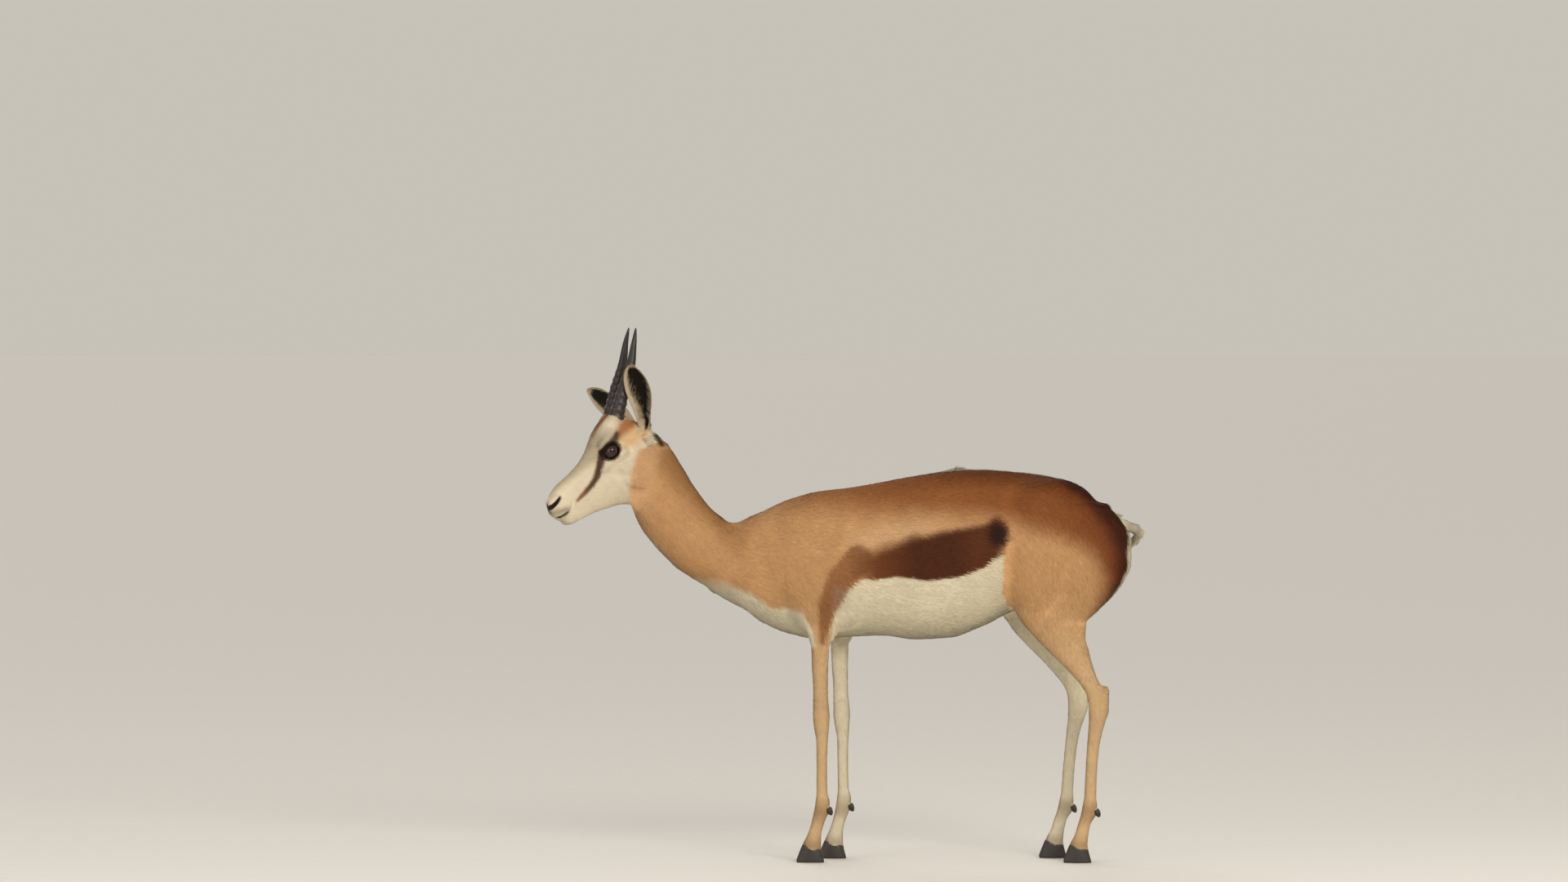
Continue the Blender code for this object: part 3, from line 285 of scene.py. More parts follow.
def pchip(table, step):
    """The table's columns at every step of its first one, on curves that pass its rows and never overshoot."""
    table = np.array(table, float)
    place = table[:, 0]
    if place[0] > place[-1]:
        table = table[::-1]
        place = table[:, 0]
    count = max(2, int(abs(place[-1] - place[0]) / step))
    fine = np.linspace(place[0], place[-1], count)
    width = np.diff(place)
    columns = [fine]
    index = np.clip(np.searchsorted(place, fine) - 1, 0, len(place) - 2)
    t = (fine - place[index]) / width[index]
    for values in table[:, 1:].T:
        slope = np.diff(values) / width
        bend = np.zeros(len(place))
        same = slope[1:] * slope[:-1] > 0
        total = np.where(same, slope[1:] + slope[:-1], 1.0)
        bend[1:-1] = np.where(same, 2 * slope[1:] * slope[:-1] / total, 0.0)
        bend[0] = slope[0]
        bend[-1] = slope[-1]
        low = values[index]
        high = values[index + 1]
        curve = low * (1 + 2 * t) * (1 - t) ** 2 + high * t**2 * (3 - 2 * t)
        curve += width[index] * (bend[index] * t * (1 - t) ** 2 - bend[index + 1] * t**2 * (1 - t))
        columns.append(curve)
    return np.array(columns)


def smooth_min(a, b, blend):
    """The lesser of two distances, rounded where they are within the blend of one another."""
    near = np.maximum(blend - np.abs(a - b), 0) / blend
    return np.minimum(a, b) - near * near * blend * 0.25


def smooth_max(a, b, blend):
    return -smooth_min(-a, -b, blend)


def section_distance(across, level, half, reach, power):
    """About the distance from a rounded section with these half sizes, less than zero inside it."""
    u = np.abs(across) / half
    v = np.abs(level) / reach
    radial = np.maximum(u**power + v**power, 1e-6) ** (1 / power)
    slope = np.hypot(u ** (power - 1) / half, v ** (power - 1) / reach) * radial ** (1 - power)
    return (radial - 1) / np.maximum(slope, 1.0)


def lofted(along, across, up, form):
    """Distance from a form whose sections stand across its axis and end flat at the first and last."""
    place, top, bottom, half, mid, above, below = form
    top, bottom, half, mid, above, below = (
        np.interp(along, place, column) for column in (top, bottom, half, mid, above, below)
    )
    level = up - mid
    reach = np.where(level > 0, top - mid, mid - bottom)
    power = np.where(level > 0, above, below)
    distance = section_distance(across, level, half, reach, power)
    past = np.maximum(place[0] - along, along - place[-1])
    return np.where(past > 0, np.hypot(np.maximum(distance, 0), past), np.maximum(distance, past))


def ellipsoid(x, y, z, centre, radii, lean, tilt):
    """Distance from an ellipsoid, its upright axis leaning back in the body's plane and tilting inward."""
    centre = [v * MM for v in centre]
    radii = [v * MM for v in radii]
    dx = x - centre[0]
    dz = z - centre[2]
    c = math.cos(lean)
    s = math.sin(lean)
    a = (dx * c - dz * s) / radii[0]
    b = (y - centre[1] + tilt * dz) / radii[1]
    d = (dx * s + dz * c) / radii[2]
    radial = np.sqrt(a * a + b * b + d * d)
    steepness = np.sqrt((a / radii[0]) ** 2 + (b / radii[1]) ** 2 + (d / radii[2]) ** 2)
    slope = steepness / np.maximum(radial, 1e-6)
    return (radial - 1) / np.maximum(slope, 1.0)


def with_masses(distance, x, y, z, rows):
    """The distance with each of these masses run into it."""
    for centre, radii, lean, tilt, blend in rows:
        mass = ellipsoid(x, y, z, centre, radii, lean, tilt)
        distance = mass if distance is None else smooth_min(distance, mass, blend * MM)
    return distance


def rod(x, y, z, start, end, thick_start, thick_end):
    """Distance from a rod with round ends and a radius that changes evenly along it, its sizes in mm."""
    start = [v * MM for v in start]
    end = [v * MM for v in end]
    thick_start *= MM
    thick_end *= MM
    step = [e - s for s, e in zip(start, end)]
    squared = sum(v * v for v in step)
    gaps = [coordinate - first for coordinate, first in zip((x, y, z), start)]
    t = np.clip(sum(gap * v for gap, v in zip(gaps, step)) / squared, 0, 1)
    away = np.sqrt(sum((gap - t * v) ** 2 for gap, v in zip(gaps, step)))
    return away - thick_start - (thick_end - thick_start) * t


def scaled(table, step, *kept):
    """A table of mm as fine columns of metres; the kept columns hold no lengths and stay as they are."""
    fine = pchip(table, step)
    for index in range(len(fine)):
        if index not in kept:
            fine[index] *= MM
    return fine


TRUNK_FORM = scaled(TRUNK, 4, 5, 6)
NECK_FORM = scaled(NECK, 4, 5, 6)
HEAD_FORM = scaled(HEAD, 2, 5, 6)
FORELEG_FORM = scaled(FORELEG, 2)
HINDLEG_FORM = scaled(HINDLEG, 2)


def limb_shift(z, shift):
    """How far a leg of this side stands from the tabled one at height z."""
    height = np.clip(z / (SHIFT_HEIGHT * MM), 0, 1)
    fade = np.clip((SHIFT_HEIGHT * MM + SHIFT_FADE * MM - z) / (SHIFT_FADE * MM), 0, 1)
    return (shift[0] + (shift[1] - shift[0]) * height) * MM * fade


def limb(x, y, z, form, side, shift, power):
    """Distance from a leg, whose sections lie level."""
    place, front, rear, inner, outer = form
    offset = limb_shift(z, shift)
    front = np.interp(z, place, front) + offset
    rear = np.interp(z, place, rear) + offset
    inner = np.interp(z, place, inner)
    outer = np.interp(z, place, outer)
    distance = section_distance(
        x - (front + rear) / 2, side * y - (inner + outer) / 2, (rear - front) / 2, (outer - inner) / 2, power
    )
    past = np.maximum(place[0] - z, z - place[-1])
    return np.where(past > 0, np.hypot(np.maximum(distance, 0), past), np.maximum(distance, past))


def foreleg(x, y, z, side):
    """A foreleg with the point of its elbow, the swell of the forearm, the carpus and the dew claws."""
    distance = limb(x, y, z, FORELEG_FORM, side, FORE_SHIFT[side], FORELEG_ROUNDNESS)
    return with_masses(distance, x - limb_shift(z, FORE_SHIFT[side]), side * y, z, FORELEG_MASSES)


def hindleg(x, y, z, side):
    """A hind leg with its haunch, the point of the hock, the hollow before its tendon and the dew claws."""
    distance = limb(x, y, z, HINDLEG_FORM, side, HIND_SHIFT[side], HINDLEG_ROUNDNESS)
    own_x = x - limb_shift(z, HIND_SHIFT[side])
    distance = with_masses(distance, own_x, side * y, z, HINDLEG_MASSES)
    for start, end, thick_start, thick_end, blend in TENDON_HOLLOWS:
        hollow = rod(own_x, side * y, z, start, end, thick_start, thick_end)
        distance = smooth_max(distance, -hollow, blend * MM)
    return distance


def trunk(x, y, z):
    return lofted(x, y, z, TRUNK_FORM)


def shoulders(x, y, z):
    """Both shoulder blades with the muscle of the upper arm, as one form on each side."""
    return with_masses(None, x, np.abs(y), z, SHOULDER_MASSES)


def haunches(x, y, z):
    """The rounded muscle over each hip, the front and back of the thigh and the point of the hip bone."""
    return with_masses(None, x, np.abs(y), z, HAUNCH_MASSES)


def neck(x, y, z):
    dx = x - NECK_TOP[0]
    dz = z - NECK_TOP[2]
    return lofted(dx * NECK_AXIS[0] + dz * NECK_AXIS[2], y, dx * NECK_NAPE[0] + dz * NECK_NAPE[2], NECK_FORM)


def tail(x, y, z, places=TAIL):
    """The tail's fleshy stem, as rods set end to end."""
    distance = None
    for start, end in zip(places[:-1], places[1:]):
        piece = rod(x, y, z, start[:3], end[:3], start[3], end[3])
        distance = piece if distance is None else smooth_min(distance, piece, TAIL_BLEND * MM)
    return distance


def tail_root(x, y, z):
    """The tail's first stretch, which stays with the torso."""
    return tail(x, y, z, TAIL[:TAIL_ROOT_PLACES])


def in_head(x, y, z):
    """Places in the head's own axes: along the muzzle, to either side and out of the crown."""
    dx = x - POLL[0]
    dy = y - POLL[1]
    dz = z - POLL[2]
    along = dx * HEAD_AXIS[0] + dy * HEAD_AXIS[1] + dz * HEAD_AXIS[2]
    aside = dx * HEAD_LEFT[0] + dy * HEAD_LEFT[1] + dz * HEAD_LEFT[2]
    crown = dx * HEAD_CROWN[0] + dy * HEAD_CROWN[1] + dz * HEAD_CROWN[2]
    return along, aside, crown


def head_to_world(place):
    """The world place of a point given in mm along the head's own axes."""
    along, aside, crown = (v * MM for v in place)
    return POLL + along * HEAD_AXIS + aside * HEAD_LEFT + crown * HEAD_CROWN


def lid_opening(a, side, c):
    """The almond between the lids, sunk from the side of the head to a little outside the eye's middle."""
    along = a - EYE_PLACE[0] * MM + LID_SHIFT * MM
    up = c - EYE_PLACE[2] * MM
    long_way = (along * math.cos(LID_TILT) - up * math.sin(LID_TILT)) / (LID_OPENING[0] * MM)
    short_way = (along * math.sin(LID_TILT) + up * math.cos(LID_TILT)) / (LID_OPENING[1] * MM)
    front = long_way * LID_OPENING[0] / LID_FRONT[0]
    corner = np.where(long_way > 0, np.abs(front) ** LID_FRONT[1], np.abs(long_way) ** LID_POWERS[0])
    rim = (corner + np.abs(short_way) ** LID_POWERS[1]) ** 0.5 - 1
    return np.maximum(rim * LID_OPENING[1] * MM, (EYE_PLACE[1] + LID_DEPTH) * MM - side)


def nostril(a, side, c):
    """Distance from the hollow of the nostril, as rods set end to end."""
    nearest = None
    for start, end in zip(NOSTRIL[:-1], NOSTRIL[1:]):
        piece = rod(a, side, c, start[:3], end[:3], start[3], end[3])
        nearest = piece if nearest is None else np.minimum(nearest, piece)
    return nearest


def along_line(across, up, line):
    """Distance in mm from a line of straight stretches whose half-width varies, less than zero on it."""
    nearest = np.full(np.broadcast_shapes(np.shape(across), np.shape(up)), 1e3)
    for (x0, z0, r0), (x1, z1, r1) in zip(line[:-1], line[1:]):
        dx, dz = x1 - x0, z1 - z0
        t = np.clip(((across - x0) * dx + (up - z0) * dz) / (dx * dx + dz * dz), 0, 1)
        away = np.hypot(across - x0 - t * dx, up - z0 - t * dz) - r0 - (r1 - r0) * t
        nearest = np.minimum(nearest, away)
    return nearest


def folds(across, up, table):
    """How deep these creases are at places in mm across and up the animal's side."""
    depth = 0.0
    for deepest, half, path in table:
        away = along_line(across, up, [(*place, 0.0) for place in path])
        depth = depth + deepest * np.exp(-((away / half) ** 2))
    return depth


def head(x, y, z):
    """The skull and muzzle with brows, cheeks, jaw, lips, mouth line, nostrils and lids."""
    a, s, c = in_head(x, y, z)
    side = np.abs(s)
    skull = with_masses(lofted(a, s, c, HEAD_FORM), a, side, c, HEAD_MASSES)
    for start, end, thick_start, thick_end, blend in (CHEEK_BONE, NOSTRIL_WING):
        skull = smooth_min(skull, rod(a, side, c, start, end, thick_start, thick_end), blend * MM)
    start, end, thick_start, thick_end, blend = LIP_PARTING
    skull = smooth_max(skull, -rod(a, side, c, start, end, thick_start, thick_end), blend * MM)
    skull = smooth_max(skull, -nostril(a, side, c), NOSTRIL_BLEND * MM)
    thick_start, thick_end, blend = MOUTH_THICKNESS
    for start, end in zip(MOUTH_LINE[:-1], MOUTH_LINE[1:]):
        for deeper in MOUTH_DEPTHS:
            outer_start = (start[0], start[1] + deeper, start[2])
            outer_end = (end[0], end[1] + deeper, end[2])
            slit = rod(a, side, c, outer_start, outer_end, thick_start, thick_end)
            skull = smooth_max(skull, -slit, blend * MM)
    skull = skull + folds(a / MM, c / MM, FACE_FOLDS) * MM
    gaps = [coordinate - place * MM for coordinate, place in zip((a, side, c), EYE_PLACE)]
    from_eye = np.sqrt(gaps[0] ** 2 + gaps[1] ** 2 + gaps[2] ** 2)
    skull = smooth_min(skull, from_eye - EYE_RADIUS - LID_THICKNESS * MM, LID_BLEND * MM)
    return smooth_max(skull, -lid_opening(a, side, c), LID_DEPTH * MM)



# Every form of the flesh, the box in mm that holds it and how softly it runs into the forms before it.
FORMS = (
    (trunk, (-320, 600, -150, 150, 390, 830), 10),
    (shoulders, (-260, 140, -150, 150, 400, 800), 30),
    (haunches, (200, 620, -150, 150, 420, 800), 34),
    (neck, (-480, -90, -110, 110, 420, 900), 26),
    (lambda x, y, z: foreleg(x, y, z, -1), (-200, 110, -130, 8, -10, 620), 14),
    (lambda x, y, z: foreleg(x, y, z, 1), (-200, 140, -8, 130, -10, 620), 14),
    (lambda x, y, z: hindleg(x, y, z, -1), (190, 600, -150, 15, -10, 760), 18),
    (lambda x, y, z: hindleg(x, y, z, 1), (160, 600, -15, 150, -10, 760), 18),
    (tail, (460, 610, -30, 170, 540, 720), 12),
    (head, (-650, -350, -130, 110, 620, 940), 18),
)
FAR_AWAY = 60 * MM
# Creases of the body, as on the face, in mm along X and Z: before the thigh, behind its front muscle, behind and
# before the upper arm and along the vein of the neck. They fade toward the middle of the body.
BODY_FOLDS = (
    (3.4, 15, ((306, 622), (300, 580), (301, 520), (315, 474))),
    (2.4, 17, ((412, 640), (425, 595), (408, 530), (388, 502))),
    (2.6, 21, ((-4, 668), (-16, 622), (-36, 560))),
    (2.4, 20, ((-196, 622), (-176, 560), (-130, 508))),
    (1.4, 14, ((-356, 690), (-300, 640), (-250, 574))),
)
FOLD_START, FOLD_FULL = 14 * MM, 34 * MM
# Spacing of the grid that the field is read on, in mm: start, end and step of each stretch along an axis. It is
# finest over the face.
GRID_X = ((-632, -440, 1.2), (-440, -372, 1.8), (-372, -130, 3.0), (-130, 600, 4.0))
GRID_Y = ((-128, -75, 2.4), (-75, -15, 1.6), (-15, 140, 2.4))
GRID_Z = ((12, 640, 4.0), (640, 840, 1.4), (840, 926, 2.0))
# How far the hide lies inside the solids, which show the coat's outline: on the body, and on the face and legs.
BODY_COAT = 2.2 * MM
FACE_COAT = 0.7 * MM
SKIN_TRIANGLES = 176000


def spaced(stretches):
    """Places along an axis, each stretch with its own step."""
    places = [np.arange(low, high - step / 4, step) for low, high, step in stretches]
    return np.concatenate(places + [[stretches[-1][1]]]) * MM


def step_up(value, low, high):
    """Rises from 0 at the low value to 1 at the high one, level at both ends."""
    t = np.clip((value - low) / (high - low), 0, 1)
    return t * t * (3 - 2 * t)


def coat_depth(x, z):
    """The coat's depth: thin on the face and the lower legs, deeper on the body."""
    body = step_up(x, -410 * MM, -330 * MM) * step_up(z, 260 * MM, 440 * MM)
    return FACE_COAT + (BODY_COAT - FACE_COAT) * body


def flesh_field(axes):
    """The field of all forms on the grid of these three axes."""
    field = np.full([len(axis) for axis in axes], FAR_AWAY)
    for form, reach, blend in FORMS:
        spans = []
        for axis, low, high in zip(axes, reach[::2], reach[1::2]):
            spans.append(slice(*np.searchsorted(axis, (low * MM, high * MM))))
        x, y, z = (axis[span] for axis, span in zip(axes, spans))
        distance = form(x[:, None, None], y[None, :, None], z[None, None, :])
        field[tuple(spans)] = smooth_min(field[tuple(spans)], distance, blend * MM)
    crease = folds(axes[0][:, None] / MM, axes[2][None, :] / MM, BODY_FOLDS) * MM
    field += crease[:, None, :] * step_up(np.abs(axes[1]), FOLD_START, FOLD_FULL)[None, :, None]
    field += coat_depth(axes[0][:, None, None], axes[2][None, None, :])
    for axis in range(3):
        ends = [slice(None)] * 3
        for end in (0, -1):
            ends[axis] = end
            field[tuple(ends)] = np.maximum(field[tuple(ends)], 2 * MM)
    return field


def signed_volume(points, faces):
    corners = points[faces]
    volume = 0.0
    for second in range(1, faces.shape[1] - 1):
        crossed = np.cross(corners[:, second], corners[:, second + 1])
        volume += np.einsum("ij,ij->i", corners[:, 0], crossed).sum()
    return volume / 6


def mesh_from(name, points, faces, smooth=True):
    """A mesh from an array of points and one of faces that all have as many corners."""
    if signed_volume(points, faces) < 0:
        faces = faces[:, ::-1]
    mesh = bpy.data.meshes.new(name)
    mesh.vertices.add(len(points))
    mesh.vertices.foreach_set("co", np.ascontiguousarray(points, np.float32).ravel())
    mesh.loops.add(faces.size)
    mesh.loops.foreach_set("vertex_index", np.ascontiguousarray(faces, np.int32).ravel())
    mesh.polygons.add(len(faces))
    starts = np.arange(len(faces), dtype=np.int32) * faces.shape[1]
    mesh.polygons.foreach_set("loop_start", starts)
    mesh.polygons.foreach_set("use_smooth", np.full(len(faces), smooth))
    mesh.update(calc_edges=True)
    return mesh


def put(mesh, name):
    piece = bpy.data.objects.new(name, mesh)
    bpy.context.scene.collection.objects.link(piece)
    return piece


def carry_out(piece):
    """Makes the result of the piece's modifiers its own mesh."""
    bpy.context.view_layer.update()
    graph = bpy.context.evaluated_depsgraph_get()
    mesh = bpy.data.meshes.new_from_object(piece.evaluated_get(graph))
    old = piece.data
    piece.modifiers.clear()
    piece.data = mesh
    mesh.name = piece.name
    bpy.data.meshes.remove(old)


def closed_tube(rings, ends=True):
    """Points and triangles of a surface through rings of equal count, its first and last ring closed by a point."""
    rings = np.asarray(rings, float)
    count, around = rings.shape[:2]
    row = np.arange(count - 1)[:, None] * around
    step = np.arange(around)[None, :]
    after = (step + 1) % around
    a, b, c, d = (v.ravel() for v in (row + step, row + after, row + around + after, row + around + step))
    faces = [np.column_stack([a, b, c]), np.column_stack([a, c, d])]
    points = rings.reshape(-1, 3)
    if ends:
        first, last = len(points), len(points) + 1
        points = np.concatenate([points, rings[0].mean(0)[None], rings[-1].mean(0)[None]])
        loop = np.arange(around)
        rear = (count - 1) * around
        faces.append(np.column_stack([(loop + 1) % around, loop, np.full(around, first)]))
        faces.append(np.column_stack([rear + loop, rear + (loop + 1) % around, np.full(around, last)]))
    return points, np.concatenate(faces)


# The ears are part of the skin: a thin cupped blade that closes into a round root, which runs into the head.
EAR_LENGTH = 152 * MM
EAR_WIDTH = 54 * MM
EAR_ROOT = (6, 39, 36)
EAR_POSE = {
    1: ((-0.18, -0.38, 0.907), (-0.40, -0.90, -0.2)),
    -1: ((-0.584, 0.593, 0.556), (-0.787, -0.583, -0.206)),
}
EAR_STATIONS = 64
EAR_ACROSS = 33
EAR_PLUG = 0.14
# Along the ear from its plugged end to its tip: its width as a share of the widest, the depth of its cup and
# the thickness of its blade in mm, where its plug begins to open and how soon it is open, and its bow and bend.
EAR_WIDTHS = (
    (-0.14, 0.34), (0.0, 0.40), (0.12, 0.44), (0.28, 0.62), (0.45, 0.88),
    (0.60, 1.0), (0.76, 0.92), (0.88, 0.66), (0.96, 0.36), (1.0, 0.10),
)
EAR_DEPTHS = ((0, 0.15, 0.4, 0.75, 1), (15, 22, 23, 13, 2))
EAR_THICKNESS = ((0, 0.3, 1), (3.6, 2.6, 1.4))
EAR_OPENS = (0.0, 0.12)
EAR_BOW = 2.2
EAR_BEND = 10 * MM


def ear_axes(side):
    """The ear's root, the way it points, the way its cup faces and the way across it."""
    way, facing = (np.array(v) for v in EAR_POSE[side])
    way = way / np.linalg.norm(way)
    facing = facing - way * (facing @ way)
    facing = facing / np.linalg.norm(facing)
    root = head_to_world((EAR_ROOT[0], side * EAR_ROOT[1], EAR_ROOT[2]))
    return root, way, facing, np.cross(way, facing)


def ear_form(t):
    """Half-width, cup depth, thickness, share that is open and bend, at these places along the ear."""
    rise = np.clip(t, 0, 1)
    widths = pchip(EAR_WIDTHS, 0.01)
    half = EAR_WIDTH / 2 * np.interp(t, widths[0], widths[1])
    deep = np.interp(rise, *EAR_DEPTHS) * MM
    thick = np.interp(rise, *EAR_THICKNESS) * MM
    open_share = np.clip((rise - EAR_OPENS[0]) / EAR_OPENS[1], 0, 1) ** 0.8
    return half, deep, thick, open_share, -EAR_BEND * np.sin(rise * math.pi)


def ear_rings(side):
    """Rings round the ear's blade: its bowed back from edge to edge, then its hollow front back again."""
    root, way, facing, aside = ear_axes(side)
    t = np.linspace(-EAR_PLUG, 1, EAR_STATIONS)
    half, deep, thick, open_share, bend = (v[:, None] for v in ear_form(t))
    u = np.sin(np.linspace(-math.pi / 2, math.pi / 2, EAR_ACROSS))
    bow = 1 - np.abs(u) ** EAR_BOW
    back = -deep * bow - 0.25 * thick * (1 - u**2)
    cup = -deep * bow + thick * (0.55 + 0.45 * bow)
    plug = np.sqrt(np.maximum(1 - u**2, 0)) * half * 0.9
    front = open_share * cup + (1 - open_share) * np.maximum(plug, cup)
    across = np.concatenate([u, u[::-1]])[None, :] * half
    out = np.concatenate([back, front[:, ::-1]], axis=1) + bend
    spot = root + (t * EAR_LENGTH)[:, None] * way
    return spot[:, None, :] + across[:, :, None] * aside + out[:, :, None] * facing


axes = [spaced(stretches) for stretches in (GRID_X, GRID_Y, GRID_Z)]
grid = openvdb.FloatGrid(FAR_AWAY)
grid.copyFromArray(flesh_field(axes).astype(np.float32))
points, quads = grid.convertToQuads(0.0)
points = np.column_stack([np.interp(points[:, k], np.arange(len(axes[k])), axes[k]) for k in range(3)])
skin = put(mesh_from("skin", points, quads), "skin")
sparser = skin.modifiers.new("sparser", "DECIMATE")
sparser.ratio = min(1.0, SKIN_TRIANGLES / (2 * len(quads)))
sparser.use_collapse_triangulate = True
carry_out(skin)
ears = []
for side in (1, -1):
    ear_points, ear_faces = closed_tube(ear_rings(side))
    ear = put(mesh_from("ear_blade", ear_points, ear_faces), "ear_blade")
    ears.append(ear)
    joined = skin.modifiers.new("ear", "BOOLEAN")
    joined.object = ear
    joined.operation = "UNION"
    joined.solver = "MANIFOLD"
carry_out(skin)
for ear in ears:
    bpy.data.objects.remove(ear)
print("skin", len(quads), "quads", len(skin.data.polygons), "triangles")


# Markings. The hair itself is coloured: white face and belly, tan sides, a brown back, a dark band along the flank
# and a white rump. Painted shade is laid over them in the fold before the thigh, in the ears' hollows, round the
# nostrils, under them and along the mouth. Skin and tufts take them from the same function of place, the same on
# both sides of the body.
def linear(colour):
    """The linear values of an sRGB hex colour."""
    channels = np.array([int(colour[i : i + 2], 16) for i in (0, 2, 4)]) / 255
    return np.where(channels <= 0.04045, channels / 12.92, ((channels + 0.055) / 1.055) ** 2.4)


TAN = linear("BE9163")
PALE_TAN = linear("CBA278")
LEG_TAN = linear("C6A67C")
NAPE_BROWN = linear("93693F")
BACK_BROWN = linear("8F5830")
LOIN_BROWN = linear("7D4822")
DORSAL_BROWN = linear("5F3114")
BAND_DARK = linear("4A2411")
BAND_FRONT = linear("67391C")
FLANK_FOLD_SHADE = linear("27120B")
ELBOW_BROWN = linear("855431")
RUMP_RED = linear("733C1B")
RUMP_DARK = linear("3E1E10")
BELLY_WHITE = linear("D6CBAF")
FACE_WHITE = linear("D0C3AA")
BRIDGE_GREY = linear("A8997E")
BROW_ORANGE = linear("9C6638")
BROW_CREAM = linear("D0A877")
BROW_DARK = linear("4B3121")
FOREHEAD_BROWN = linear("9B6237")
FACE_STRIPE = linear("3E1F0C")
STRIPE_END = linear("8A5733")
EYE_SURROUND = linear("1E120B")
NOSE_DARK = linear("221B16")
PAINTED_LIP_SHADE = linear("857A66")
EAR_INSIDE_SHADED = linear("1B1611")
EAR_RIM = linear("BDAC90")
EAR_BACK = linear("B59A76")
EAR_BASE = linear("B7A88C")
TAIL_GREY = linear("B1A594")
FETLOCK_BROWN = linear("7A5638")

# Lines that bound the markings on the body's side, each as places along one axis and along the other, in mm.
BAND_TOP = ((6, 62, 126, 190, 254, 278, 300), (602, 618, 638, 650, 662, 672, 676))
BAND_FOOT = ((10, 94, 158, 214, 254, 278, 294), (556, 558, 553, 562, 582, 601, 606))
BROWN_FOOT = ((-200, -98, 14, 125, 222, 318, 400, 477, 520), (724, 700, 690, 688, 684, 676, 652, 620, 560))
BACK_STRENGTH = ((-240, -150, -60, 60, 200), (0.22, 0.56, 0.76, 0.95, 1.0))
BELLY_FRONT = ((400, 450, 500, 540, 557), (-45, -38, -22, 2, 14))
BELLY_REAR = ((422, 486, 531, 606), (350, 314, 291, 293))
BRISKET_LINE = ((-262, -230, -202, -170, -130, -97, -80, -66), (502, 495, 492, 497, 501, 494, 462, 430))
REAR_LINE = ((430, 483, 510, 566, 614, 662, 710, 750), (468, 480, 503, 535, 539, 519, 479, 414))
RUMP_WHITE = ((440, 480, 520, 560, 610, 640, 670, 700, 730), (48, 54, 63, 71, 72, 66, 46, 19, 4))
FORE_MIDDLE = ((0, 200, 300, 380, 440, 500), (54, 54, 54, 56, 57, 54))
HIND_MIDDLE = ((0, 200, 300, 366, 420, 470, 520, 570), (63, 63, 64, 63, 58, 52, 46, 40))
ELBOW_BAND = ((10, 596, 26), (-26, 556, 24), (-47, 508, 18), (-54, 472, 11), (-56, 438, 4))
FACE_EDGE = ((690, 726, 758, 790, 806, 811, 819, 845), (-431, -434, -431, -422, -416, -400, -384, -372))
TEAR_STRIPE = ((-486, 800, 8.5), (-491, 776, 7.5), (-498, 752, 6.6), (-507, 738, 6), (-519, 724, 5.2), (-534, 708, 3.4))
BROW_PATCH = ((-455, 834, 8), (-444, 850, 13), (-428, 866, 15))
BROW_GLOW = ((-436, 826, 14), (-418, 846, 20))
DARK_BROW = ((-472, 812, 10), (-463, 826, 8), (-457, 838, 4))
DARK_SPOT = ((-384, 836, 6), (-373, 818, 6))
# Half-width in mm of the bare nose pad, by place out of the crown.
NOSE_PAD = ((10, 20, 27, 34, 39, 43), (0.8, 1.3, 3.6, 6.4, 5.0, 1.0))
# Half-width of the ear's dark inside, nearly bare and darkened by painted shade in its hollow, as a share of the ear's,
# along it.
EAR_DARK = ((0.05, 0.15, 0.30, 0.50, 0.75, 0.90, 1.0), (0.16, 0.32, 0.44, 0.68, 0.67, 0.62, 0.4))


def mottle(x, y, z, size, seed):
    """Smooth mottling about zero: sine waves of about this length in mm that cross one another."""
    draw = np.random.default_rng(seed)
    total = np.zeros(np.shape(x))
    for _ in range(7):
        way = draw.normal(size=3)
        way /= np.linalg.norm(way) * size * draw.uniform(0.7, 1.5) * MM
        total += np.sin((x * way[0] + y * way[1] + z * way[2]) * 2 * math.pi + draw.uniform(0, 7))
    return total / 3.7


def ear_places(x, y, z, side):
    """Places on an ear: along it and across it as shares, and the distance in front of the blade's middle."""
    root, way, facing, aside = ear_axes(side)
    dx, dy, dz = x - root[0], y - root[1], z - root[2]
    along, across, out = (dx * v[0] + dy * v[1] + dz * v[2] for v in (way, aside, facing))
    t = along / EAR_LENGTH
    half, deep, thick, _, bend = ear_form(t)
    u = across / half
    bow = 1 - np.minimum(np.abs(u), 1) ** EAR_BOW
    return t, u, out - (-deep * bow + 0.3 * thick + bend)


def on_ear(t, u, before):
    return (t > 0.03) & (t < 1.04) & (np.abs(u) < 1.3) & (np.abs(before) < np.where(t < 0.3, 16, 7) * MM)


def head_place(x, y, z):
    """Places in mm along X and Z as the left side of the head shows them, the right side's folded onto it."""
    a, s, c = (v / MM for v in in_head(x, y, z))
    across = POLL[0] / MM + a * HEAD_AXIS[0] + np.abs(s) * HEAD_LEFT[0] + c * HEAD_CROWN[0]
    return across, POLL[2] / MM + a * HEAD_AXIS[2] + c * HEAD_CROWN[2]


